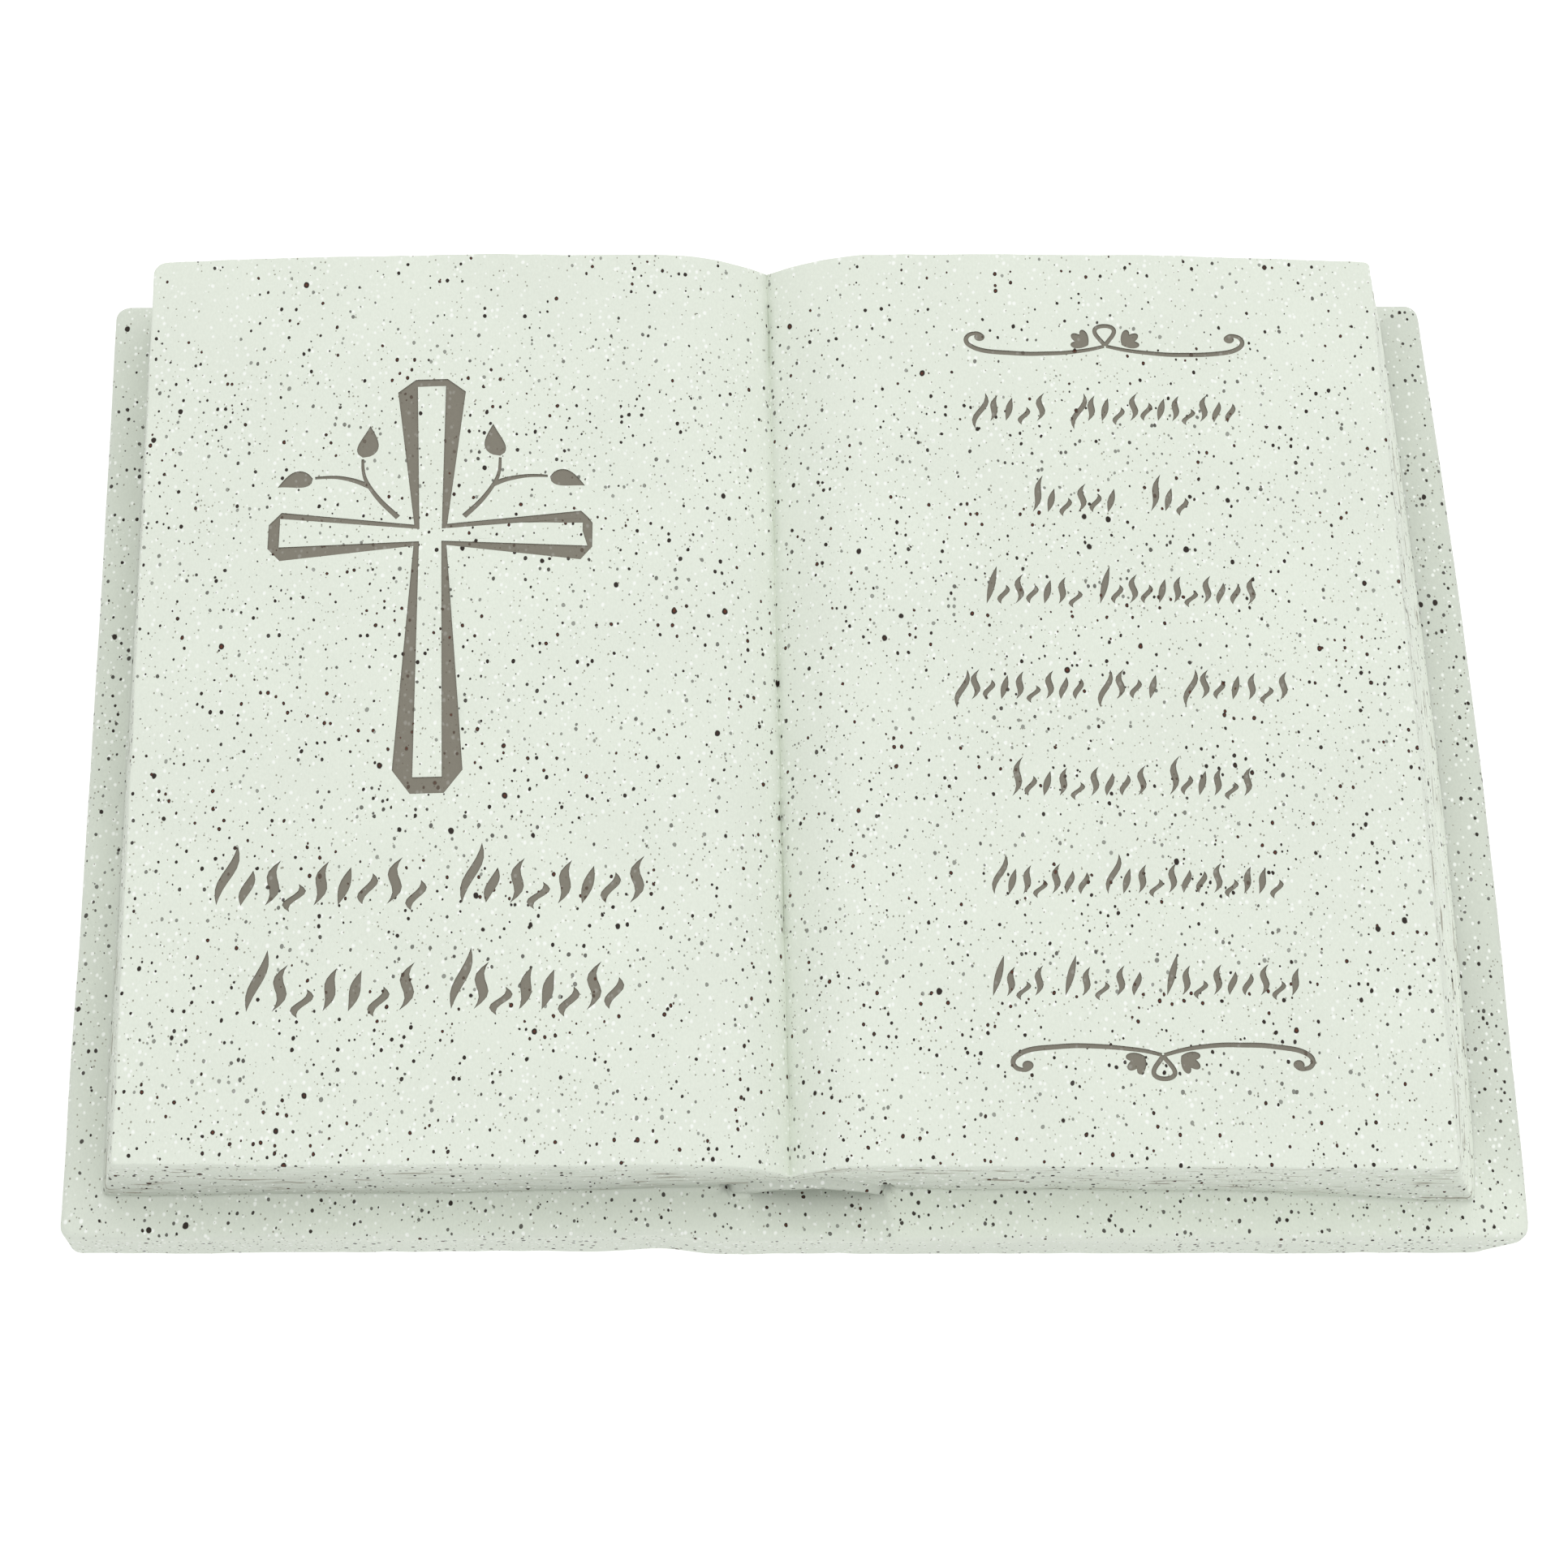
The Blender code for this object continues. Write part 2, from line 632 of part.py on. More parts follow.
def carve_pages(book):
    """All the carving: cross and sprigs on the left leaf, flourishes on the right, and the rows."""
    carving = Carving()
    cross_place = leaf_point(-1, *CROSS_PLACE)
    cross_height = CROSS_HEIGHT_SHARE * LEAF_DEPTH
    carve_cross(carving, cross_place, cross_height)
    for mirror in (-1, 1):
        carve_sprig(carving, cross_place, cross_height, mirror)
    flourish_width = FLOURISH_WIDTH_SHARE * LEAF_WIDTH
    carve_flourish(carving, leaf_point(1, *TOP_FLOURISH_PLACE), flourish_width, 1)
    carve_flourish(carving, leaf_point(1, *LOW_FLOURISH_PLACE), flourish_width, -1)
    for leaf, up, growth, groups in ROWS:
        carve_row(carving, leaf, up, growth, groups)
    carving.cut_into(book)


def stone_material():
    """Pale cast stone, matt."""
    material = bpy.data.materials.new("cast_stone")
    material.use_nodes = True
    shader = material.node_tree.nodes["Principled BSDF"]
    shader.inputs["Base Color"].default_value = (0.76, 0.81, 0.71, 1)
    shader.inputs["Roughness"].default_value = 0.7
    shader.inputs["Metallic"].default_value = 0.0
    return material


def main():
    """Builds the book from its cover up."""
    clear_scene()
    book = make_cover()
    combine(book, make_pages(), "UNION")
    add_spine_end(book, "front", -1)
    add_spine_end(book, "back", 1)
    carve_pages(book)
    book.data.materials.append(stone_material())


main()
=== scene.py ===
"""Open book memorial: the looks of a small cast stone book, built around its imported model.

The book is one casting. Its skin is a grid over the open pages with the carving let into it, and a
stack of rings that runs down the walls of the pages, over the cover and round its edge to the
underside. Lengths are in metres.
"""

import logging
import math
from dataclasses import dataclass, field
from enum import Enum
from typing import Any

import bmesh
import bpy
import numpy as np
from mathutils import Matrix, Vector
from mathutils.geometry import delaunay_2d_cdt


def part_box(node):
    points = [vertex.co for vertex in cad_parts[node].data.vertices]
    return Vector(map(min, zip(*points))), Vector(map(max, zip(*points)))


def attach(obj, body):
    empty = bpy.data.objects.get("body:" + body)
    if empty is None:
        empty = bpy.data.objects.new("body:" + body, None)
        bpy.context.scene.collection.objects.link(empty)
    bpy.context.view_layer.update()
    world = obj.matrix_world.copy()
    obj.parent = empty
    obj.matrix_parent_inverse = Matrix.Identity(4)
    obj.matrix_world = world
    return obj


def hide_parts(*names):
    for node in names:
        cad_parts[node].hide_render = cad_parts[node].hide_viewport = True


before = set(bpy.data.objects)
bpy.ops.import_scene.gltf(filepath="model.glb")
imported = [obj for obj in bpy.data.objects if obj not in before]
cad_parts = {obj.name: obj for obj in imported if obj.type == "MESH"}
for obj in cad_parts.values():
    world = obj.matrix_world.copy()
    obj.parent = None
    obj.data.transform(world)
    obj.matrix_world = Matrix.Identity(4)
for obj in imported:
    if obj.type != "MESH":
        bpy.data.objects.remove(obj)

NODE = "cast_book"
MM = 0.001
# Edges sharper than this stay hard.
SHARP_ANGLE = math.radians(38)
# A point this close to a line lies on it.
ON_LINE = 1e-8
# Twice the area of a triangle too thin to keep.
SLIVER = 1e-14
# Millimetres within which the triangulation joins points.
SAME_PLACE = 1e-6
# Shortest and longest wave of a ripple, in shares of its typical length.
WAVE_LENGTHS = (0.7, 1.5)
# How often patches that only touch are looked for.
PINCH_ROUNDS = 4
# Spreads the two numbers of a cell over one key.
KEY_STRIDE = 1000003

log = logging.getLogger("open book memorial")


def blend(start: np.ndarray, end: np.ndarray, share: np.ndarray) -> np.ndarray:
    """Straight mix of two values."""
    return start + (end - start) * share


def ease(values: np.ndarray, low: float, high: float) -> np.ndarray:
    """Smooth step from 0 at low to 1 at high."""
    share = np.clip((values - low) / (high - low), 0.0, 1.0)
    return share * share * (3.0 - 2.0 * share)


def ripple(x: np.ndarray, y: np.ndarray, length: float, seed: int, waves: int = 7) -> np.ndarray:
    """Gentle unevenness: a sum of plane sine waves about one length long, in directions drawn by lot.

    Args:
        x: First coordinate of the places.
        y: Second coordinate of the places.
        length: Typical length of a wave.
        seed: Chooses the directions and phases.
        waves: How many waves are added.

    Returns:
        Heights that mostly lie between -1 and 1.
    """
    draw = np.random.default_rng(seed)
    total = np.zeros(np.broadcast(x, y).shape)
    for _ in range(waves):
        turn, phase = draw.uniform(0, 2 * math.pi, 2)
        pace = 2 * math.pi / (length * draw.uniform(*WAVE_LENGTHS))
        total += np.sin(pace * (x * math.cos(turn) + y * math.sin(turn)) + phase)
    return total / math.sqrt(waves)


class Side(Enum):
    """The four sides of the plan, in the order in which a ring runs round them."""

    FRONT = 0
    RIGHT = 1
    BACK = 2
    LEFT = 3


@dataclass(frozen=True)
class Plan:
    """Sizes of the book on its square plan, and how the real one departs from the square."""

    width: float = 0.2177
    depth: float = 0.1578
    thickness: float = 0.009
    lean: float = 0.0062
    taper: float = 0.008
    right_bow: float = 0.0014
    left_hollow: float = 0.0003
    front_step: float = 0.0006
    front_step_start: float = -0.021
    front_step_end: float = -0.012
    front_run: float = 0.0005
    pages_left: float = -0.0995
    pages_right: float = 0.0945
    pages_front: float = -0.0719
    pages_back: float = 0.0746
    front_skew: float = 0.0007
    height_front: float = 0.0135
    height_back: float = 0.0203
    crown_front: float = 0.0004
    crown_back: float = 0.0026
    crest: float = 0.36
    crown_loss: float = 0.3
    gutter_depth: float = 0.0053
    gutter_reach_front: float = 0.0095
    gutter_reach_back: float = 0.017

    @property
    def gutter(self) -> float:
        """Place of the gutter, midway between the fore-edges."""
        return (self.pages_left + self.pages_right) / 2

    @property
    def leaf(self) -> float:
        """Width of one leaf."""
        return (self.pages_right - self.pages_left) / 2

    @property
    def pages_depth(self) -> float:
        """Depth of the pages from the front edge to the back edge."""
        return self.pages_back - self.pages_front

    def front_of_pages(self, x: np.ndarray) -> np.ndarray:
        """Front edge of the pages: a straight line that comes forward a little to the right."""
        return self.pages_front - self.front_skew * (x - self.gutter) / self.leaf

    def front_of_cover(self, x: np.ndarray) -> np.ndarray:
        """Front edge of the cover: it steps forward beside the spine and runs on forward to the right.

        Args:
            x: Places across the book.

        Returns:
            The edge's places along the depth.
        """
        step = self.front_step * ease(x, self.front_step_start, self.front_step_end)
        run = np.clip((x - self.front_step_end) / (self.width / 2 - self.front_step_end), 0, None)
        return -self.depth / 2 + self.front_step / 2 - step - self.front_run * run

    def page_top(self, x: np.ndarray, y: np.ndarray) -> np.ndarray:
        """Height of the open pages.

        A plane that rises to the back, plus a crown on each leaf that falls off as a parabola to
        the fore-edge and a little to the gutter, minus the fold of the gutter, a squared ramp.

        Args:
            x: Places across the book.
            y: Places along its depth.

        Returns:
            Heights above the floor.
        """
        share = (y - self.pages_front) / self.pages_depth
        away = np.abs(x - self.gutter)
        across = away / self.leaf
        outer = 1 - (np.clip(across - self.crest, 0, None) / (1 - self.crest)) ** 2
        inner = 1 - self.crown_loss * (np.clip(self.crest - across, 0, None) / self.crest) ** 2
        crown = np.where(across > self.crest, outer, inner)
        reach = blend(self.gutter_reach_front, self.gutter_reach_back, share)
        fold = np.clip(1 - away / reach, 0, None) ** 2
        level = blend(self.height_front, self.height_back, share)
        rise = crown * blend(self.crown_front, self.crown_back, share)
        return self.thickness + level + rise - self.gutter_depth * fold

    def set_out(self, x: np.ndarray, y: np.ndarray) -> tuple[np.ndarray, np.ndarray]:
        """Moves places from the square plan to the real one: it leans, and its right side is longer."""
        return x - self.lean * y, y * (1 + self.taper * x / (self.width / 2))


@dataclass(frozen=True)
class Spine:
    """The arched lip at each end of the spine and the hollow that runs out from under it."""

    offset: float = 0.0006
    hollow_half: float = 0.00965
    lip_offset: float = -0.0010
    lip_half: float = 0.0123
    hollow_rise: float = 0.0026
    hollow_depth: float = 0.0022
    crease_left: float = -0.0122
    crease_right: float = 0.0108
    crease_width: float = 0.0006
    crease_depth: float = 0.0009
    crease_height: float = 0.0030
    crease_fade: float = 0.001
    lip_wall: float = 0.0019
    lip_out: float = 0.0010
    lip_foot: float = 0.0003
    lip_start: float = 0.22
    reach: float = 0.0035
    shoulder: float = 0.0008
    hollow_start: float = 0.16
    hollow_fullness: float = 0.65
    hollow_fall: float = 0.8
    hollow_at_edge: float = 0.1
    ceiling_at_back: float = 0.92
    ridge: float = 0.00035
    ridge_place: float = 1.08
    ridge_width: float = 0.09
    ridge_fall: float = 0.7
    ridge_start: tuple = (-0.1, 0.2)

    @staticmethod
    def arch(x: np.ndarray, middle: float, half: float) -> np.ndarray:
        """Parabola that is 1 over its middle and 0 from half a width away."""
        return np.clip(1 - ((x - middle) / half) ** 2, 0, None)


@dataclass(frozen=True)
class Steps:
    """How finely the skin is divided."""

    cell: float = 0.00135
    edge_cell: float = 0.0004
    edge_zone: float = 0.0024
    edge_fade: float = 3
    gutter_cell: float = 0.00042
    gutter_zone: float = 0.016
    gutter_fade: float = 1.5
    samples: int = 4001
    page_edge: int = 4
    wall: int = 46
    recess: tuple[int, int, int] = (3, 3, 4)
    margin: int = 9
    rounding: int = 5
    side: int = 5
    foot: int = 3
    clearance: float = 0.00035

    @property
    def first_cover_ring(self) -> int:
        """Number of the first ring on the cover."""
        return self.page_edge + self.wall + sum(self.recess)

    @property
    def first_side_ring(self) -> int:
        """Number of the first ring on the side of the cover."""
        return self.first_cover_ring + self.margin + self.rounding


def graded(length: float, steps: Steps, middle: bool) -> np.ndarray:
    """Shares along a side, closer together near its ends and, if asked, about its middle.

    The step length is a given function of the place; its inverse is summed up along the side and
    the sum is cut into equal parts.

    Args:
        length: Length of the side.
        steps: The step lengths.
        middle: Whether the middle of the side is divided finely as well.

    Returns:
        Shares from 0 to 1, the same seen from both ends.
    """
    place = np.linspace(0, length, steps.samples)
    from_end = np.minimum(place, length - place)
    inside = ease(from_end, steps.edge_zone, steps.edge_fade * steps.edge_zone)
    size = blend(steps.edge_cell, steps.cell, inside)
    if middle:
        from_middle = np.abs(place - length / 2)
        outside = ease(from_middle, steps.gutter_zone, steps.gutter_fade * steps.gutter_zone)
        size = np.minimum(size, blend(steps.gutter_cell, steps.cell, outside))
    total = np.concatenate(([0], np.cumsum((1 / size[1:] + 1 / size[:-1]) / 2 * np.diff(place))))
    count = 2 * round(total[-1] / 2)
    shares = np.interp(np.linspace(0, total[-1], count + 1), total, place) / length
    return (shares + 1 - shares[::-1]) / 2


def round_corners(x: np.ndarray, y: np.ndarray, corners: list,
                  radii: np.ndarray) -> tuple[np.ndarray, np.ndarray]:
    """Rounds the corners of a rectangle and of all the loops nested in it.

    A place belongs to the loop at its smaller distance from the sides. Where that loop comes closer
    to a corner than the radius left to it, the place slides onto the arc about the corner's centre,
    at an angle that grows from the arc's end to its middle.

    Args:
        x: Places across.
        y: Places along.
        corners: Places of the front left, front right, back right and back left corners.
        radii: Their radii.

    Returns:
        The moved places, as x and y.
    """
    new_x, new_y = np.array(x, float), np.array(y, float)
    outward = ((-1, -1), (1, -1), (1, 1), (-1, 1))
    for (corner_x, corner_y), (sign_x, sign_y), radius in zip(corners, outward, radii):
        to_x_side = (corner_x - x) * sign_x
        to_y_side = (corner_y - y) * sign_y
        nested = np.maximum(np.minimum(to_x_side, to_y_side), 0)
        along = np.maximum(to_x_side, to_y_side) - nested
        left = radius - nested
        touched = (left > 0) & (along < left)
        turn = math.pi / 4 * (1 - along / np.where(touched, left, 1))
        angle = np.where(to_y_side <= to_x_side, turn, math.pi / 2 - turn)
        new_x = np.where(touched, corner_x - sign_x * radius + sign_x * left * np.sin(angle), new_x)
        new_y = np.where(touched, corner_y - sign_y * radius + sign_y * left * np.cos(angle), new_y)
    return new_x, new_y


@dataclass(frozen=True)
class CarvingSizes:
    """Sizes of the carving, as in the solid: shares of a motif's own size, and places on the leaves."""

    depth: float = 0.0002
    cross_height: float = 0.465
    cross_place: tuple = (-1, 0.5455, 0.671)
    flourish_width: float = 0.46
    top_flourish: tuple = (1, 0.545, 0.890)
    low_flourish: tuple = (1, 0.562, 0.110)
    flourish_line: float = 0.0007
    sprig_line: float = 0.00075
    sprig_thinning: tuple = (1.15, 0.55)
    leaf_curl: float = 0.09
    leaf_fullness: float = 0.62
    leaf_points: int = 15
    stem_steps: int = 8
    curl_steps: int = 6
    curl_width: tuple = (0.8, 0.3)
    drop_points: int = 24
    loop_points: int = 41
    loop_power: float = 1.5
    bud_points: int = 45
    stroke_slant: float = 0.3
    stroke_bend: float = 0.5
    stroke_points: int = 9
    stroke_width: float = 0.0011
    stroke_pitch: float = 0.0023
    row_height: float = 0.0062
    low_stroke: float = 0.62
    stroke_change: float = 0.16
    stroke_turns: tuple = (2.4, 37)
    drop_below: float = 0.22
    drop_from: float = -0.75
    tall_growth: float = 1.5
    arms: tuple = (
        ((0, 1), 0.386, 0.036, 0.077, 0.354, 0.368, 0.032, 0.032),
        ((-1, 0), 0.363, 0.029, 0.059, 0.335, 0.338, 0.026, 0.044),
        ((0, -1), 0.614, 0.037, 0.077, 0.560, 0.576, 0.032, 0.032),
        ((1, 0), 0.363, 0.029, 0.059, 0.337, 0.352, 0.044, 0.026),
    )
    root: tuple = (0.037, 0.026)
    inner_root: tuple = (0.025, 0.015)
    stem: tuple = ((0.074, 0.044), (0.113, 0.084), (0.142, 0.125), (0.153, 0.155), (0.155, 0.188))
    fork: tuple = ((0.140, 0.122), (0.175, 0.136), (0.215, 0.145), (0.262, 0.144))
    leaves: tuple = (((0.155, 0.192), (0.139, 0.272), 0.023), ((0.267, 0.143), (0.346, 0.121), -0.021))
    curl: tuple = (
        (0.004, -0.001), (0.070, -0.017), (0.156, -0.029), (0.250, -0.033), (0.343, -0.031), (0.436, -0.020),
        (0.482, 0.000), (0.494, 0.022), (0.482, 0.041), (0.455, 0.047), (0.438, 0.040),
    )
    drop_place: tuple = (0.446, 0.032)
    drop_radius: float = 0.0185
    drop_flatness: float = 0.85
    loop_spread: float = 0.0455
    loop_height: float = 0.078
    bud_place: tuple = (0.060, 0.003)
    bud_length: float = 0.072
    bud_lean: float = 0.61
    petal_spread: float = 0.6
    petal_narrowness: float = 2.5
    side_petal: float = 0.88
    rows: tuple = (
        (-1, 0.269, True, ((0.20, 0.49), (0.53, 0.86))),
        (-1, 0.159, True, ((0.235, 0.505), (0.545, 0.81))),
        (1, 0.801, False, ((0.325, 0.45), (0.485, 0.76))),
        (1, 0.696, False, ((0.41, 0.555), (0.60, 0.67))),
        (1, 0.592, False, ((0.33, 0.49), (0.51, 0.77))),
        (1, 0.486, False, ((0.275, 0.485), (0.50, 0.605), (0.635, 0.81))),
        (1, 0.381, False, ((0.355, 0.575), (0.60, 0.74))),
        (1, 0.277, False, ((0.32, 0.475), (0.495, 0.775))),
        (1, 0.171, False, ((0.31, 0.395), (0.42, 0.55), (0.575, 0.79))),
    )


def through(points: tuple, steps: int) -> np.ndarray:
    """Smooth curve through points: on each stretch a cubic whose slopes come from the neighbours.

    Args:
        points: The points that the curve passes.
        steps: Parts of each stretch.

    Returns:
        Points along the curve.
    """
    fixed = np.array([points[0], *points, points[-1]], float)
    a, b, c, d = (fixed[i:len(fixed) - 3 + i, None, :] for i in range(4))
    t = (np.arange(steps) / steps)[None, :, None]
    curve = 0.5 * (2 * b + (c - a) * t + (2 * a - 5 * b + 4 * c - d) * t**2 + (3 * b - a - 3 * c + d) * t**3)
    return np.vstack([curve.reshape(-1, 2), fixed[-1:]])


@dataclass
class Carving:
    """The sunk figures: outlines on the square plan of the pages."""

    plan: Plan
    sizes: CarvingSizes = field(default_factory=CarvingSizes)
    outlines: list = field(default_factory=list)

    def on_leaf(self, side: int, across: float, up: float) -> np.ndarray:
        """Place on a leaf: across from the gutter to the fore-edge, and up from the front edge."""
        return np.array([self.plan.gutter + side * across * self.plan.leaf,
                         self.plan.pages_front + up * self.plan.pages_depth])

    def add(self, points: np.ndarray, place: np.ndarray, scale: float, mirror: int = 1) -> None:
        """Adds one outline of a motif, moved to its place at a scale, and mirrored if asked."""
        self.outlines.append(place + np.asarray(points, float) * (scale * mirror, scale))

    def add_line(self, path: np.ndarray, widths: np.ndarray, place: np.ndarray, scale: float,
                 mirror: int = 1) -> None:
        """Adds a line: its two sides stand off the path by half a width, square to it.

        Args:
            path: Points of the line, in shares of the motif's size.
            widths: Width at each point, in metres.
            place: Where the motif stands.
            scale: Size of the motif.
            mirror: -1 for the mirrored line.
        """
        along = np.gradient(path, axis=0)
        along /= np.linalg.norm(along, axis=1, keepdims=True)
        aside = np.stack([-along[:, 1], along[:, 0]], 1) * (widths / scale / 2)[:, None]
        self.add(np.vstack([path + aside, (path - aside)[::-1]]), place, scale, mirror)

    def cross(self, place: np.ndarray, scale: float) -> None:
        """Flared cross drawn as a band: each arm is a ring between an outer and an inner outline.

        Args:
            place: Place of its centre.
            scale: Its height.
        """
        sizes = self.sizes

        def arm_corner(half: tuple, direction: tuple, side: int) -> np.ndarray:
            """Corner where two arms meet, on one side of an arm."""
            along, up = direction
            return np.array([(along - up * side) * half[0], (up + along * side) * half[1]])

        for direction, reach, tip, shoulder, shoulder_at, inner_at, inner_left, inner_right in sizes.arms:
            turn = np.array([direction, (-direction[1], direction[0])], float)
            outer = np.array(
                [(shoulder_at, shoulder), (reach, tip), (reach, -tip), (shoulder_at, -shoulder)]) @ turn
            inner = np.array([(inner_at, -inner_right), (inner_at, inner_left)]) @ turn
            left, right = (arm_corner(sizes.root, direction, side) for side in (1, -1))
            inner_left_root, inner_right_root = (
                arm_corner(sizes.inner_root, direction, side) for side in (1, -1))
            self.add([left, *outer, right, inner_right_root, *inner, inner_left_root], place, scale)

    def sprig(self, place: np.ndarray, scale: float, mirror: int) -> None:
        """Forked stem with two leaves, whose outlines bulge as half a sine wave about a slight curl.

        Args:
            place: Centre of the cross.
            scale: Height of the cross.
            mirror: -1 for the sprig on the left.
        """
        sizes = self.sizes
        for path in (sizes.stem, sizes.fork):
            curve = through(path, sizes.stem_steps)
            widths = sizes.sprig_line * np.linspace(*sizes.sprig_thinning, len(curve))
            self.add_line(curve, widths, place, scale, mirror)
        share = np.linspace(0, 1, sizes.leaf_points)
        for base, tip, fullness in sizes.leaves:
            along = np.subtract(tip, base)
            aside = np.array([-along[1], along[0]]) / np.linalg.norm(along)
            middle = np.array(base) + share[:, None] * along
            curl = sizes.leaf_curl * np.linalg.norm(along) * np.sin(math.pi * share)
            spread = fullness * np.sin(math.pi * share**sizes.leaf_fullness)
            one = middle + (curl + spread)[:, None] * aside
            other = middle + (curl - spread)[:, None] * aside
            self.add(np.vstack([one, other[-2:0:-1]]), place, scale, mirror)

    def flourish(self, place: np.ndarray, scale: float, rising: int) -> None:
        """Pair of long curls that meet in a small loop, with a lobed bud on each side.

        The loop's width follows a sine and its height a power of the sine of half the turn.

        Args:
            place: Where the curls meet.
            scale: Width of the flourish.
            rising: 1 with the loop up, -1 with it down.
        """
        sizes = self.sizes
        flip = np.array([1, rising])
        curve = through(sizes.curl, sizes.curl_steps)
        share = np.linspace(0, 1, len(curve))
        turn = np.linspace(0, 2 * math.pi, sizes.drop_points, endpoint=False)
        ring = np.stack([np.cos(turn), sizes.drop_flatness * np.sin(turn)], 1)
        drop = np.array(sizes.drop_place) + sizes.drop_radius * ring
        widths = sizes.flourish_line * (sizes.curl_width[0] + sizes.curl_width[1] * np.sin(math.pi * share))
        bud = self.bud()
        for mirror in (-1, 1):
            self.add_line(curve * flip, widths, place, scale, mirror)
            self.add(drop * flip, place, scale, mirror)
            self.add(bud * flip, place, scale, mirror)
        angle = np.linspace(0, 2 * math.pi, sizes.loop_points)
        swell = np.sin(angle / 2)
        loop = np.stack([sizes.loop_spread * np.sin(angle) * swell,
                         rising * sizes.loop_height * swell**sizes.loop_power], 1)
        self.add_line(loop, np.full(len(loop), sizes.flourish_line), place, scale)

    def bud(self) -> np.ndarray:
        """Three round petals from one point: each reaches as a cosine of the turn from its middle.

        Returns:
            The outline of the bud.
        """
        sizes = self.sizes
        widest = sizes.petal_spread + math.pi / 2 / sizes.petal_narrowness
        turn = np.linspace(-widest, widest, sizes.bud_points)[1:-1]
        middles = np.array([-sizes.petal_spread, 0, sizes.petal_spread])[:, None]
        lengths = np.array([sizes.side_petal, 1, sizes.side_petal])[:, None]
        aside = np.minimum(np.abs(turn - middles) * sizes.petal_narrowness, math.pi / 2)
        reach = sizes.bud_length * (lengths * np.cos(aside)).max(0)
        angle = sizes.bud_lean + turn
        petals = np.array(sizes.bud_place) + reach[:, None] * np.stack([np.cos(angle), np.sin(angle)], 1)
        return np.vstack([[sizes.bud_place], petals])

    def row(self, leaf: int, up: float, growth: float, groups: tuple) -> None:
        """Row of separate slanted strokes, pointed at both ends, in groups.

        A stroke bulges as half a sine wave and bends as a whole one. Its height and bend follow the
        sine of its number.

        Args:
            leaf: -1 for the left leaf, 1 for the right one.
            up: Place of the row, from the front edge to the back edge.
            growth: Size of the strokes.
            groups: Start and end of each group, from the gutter to the fore-edge.
        """
        sizes = self.sizes
        share = np.linspace(0, 1, sizes.stroke_points)
        for start, end in groups:
            one, other = self.on_leaf(leaf, start, up), self.on_leaf(leaf, end, up)
            left, right = min(one[0], other[0]), max(one[0], other[0])
            count = max(2, round((right - left) / (sizes.stroke_pitch * growth)))
            for number in range(count):
                wave = math.sin(number * sizes.stroke_turns[0] + up * sizes.stroke_turns[1])
                tall = 1.0 if number == 0 else sizes.low_stroke + sizes.stroke_change * wave
                height = sizes.row_height * growth * tall
                width = sizes.stroke_width * growth
                below = sizes.drop_below * height if wave < sizes.drop_from else 0.0
                foot = np.array([blend(left, right, number / count), one[1] - below])
                bend = sizes.stroke_bend * wave * width * np.sin(2 * math.pi * share)
                shift = sizes.stroke_slant * height * share + bend
                spread = width / 2 * np.sin(math.pi * share)
                one_side, other_side = (
                    np.stack([shift + sign * spread, height * share], 1) for sign in (1, -1))
                self.add(np.vstack([one_side, other_side[-2:0:-1]]), foot, 1.0)

    def draw(self) -> list:
        """Draws every figure.

        Returns:
            The outlines, each an array of points.
        """
        sizes = self.sizes
        cross_place = self.on_leaf(*sizes.cross_place)
        cross_scale = sizes.cross_height * self.plan.pages_depth
        self.cross(cross_place, cross_scale)
        for mirror in (-1, 1):
            self.sprig(cross_place, cross_scale, mirror)
        width = sizes.flourish_width * self.plan.leaf
        self.flourish(self.on_leaf(*sizes.top_flourish), width, 1)
        self.flourish(self.on_leaf(*sizes.low_flourish), width, -1)
        for leaf, up, is_tall, groups in sizes.rows:
            self.row(leaf, up, sizes.tall_growth if is_tall else 1.0, groups)
        return self.outlines


def within(places: np.ndarray, outline: np.ndarray) -> np.ndarray:
    """Which places lie in an outline: those round which its sides wind.

    A side counts as rising or falling past a place when it crosses the place's height on the far
    side of it. The place is inside when the two counts differ.

    Args:
        places: Points to be tested.
        outline: Corners of the outline.

    Returns:
        A truth value for each place.
    """
    inside = np.zeros(len(places), bool)
    low, high = outline.min(0), outline.max(0)
    near = np.flatnonzero(((places >= low) & (places <= high)).all(1))
    if len(near) == 0:
        return inside
    here = places[near][:, None, :]
    start, end = outline[None], np.roll(outline, -1, 0)[None]
    side, across = end - start, here - start
    leftness = side[..., 0] * across[..., 1] - across[..., 0] * side[..., 1]
    rising = (start[..., 1] <= here[..., 1]) & (end[..., 1] > here[..., 1]) & (leftness > 0)
    falling = (start[..., 1] > here[..., 1]) & (end[..., 1] <= here[..., 1]) & (leftness < 0)
    inside[near] = rising.sum(1) != falling.sum(1)
    return inside


def rim_edges(triangles: np.ndarray, size: int) -> np.ndarray:
    """Edges that only one triangle has, each in its triangle's direction.

    Args:
        triangles: Numbers of the points of each triangle.
        size: A number above every point's.

    Returns:
        Pairs of points.
    """
    edges = np.vstack([triangles[:, [0, 1]], triangles[:, [1, 2]], triangles[:, [2, 0]]])
    return edges[~np.isin(edges[:, 0] * size + edges[:, 1], edges[:, 1] * size + edges[:, 0])]


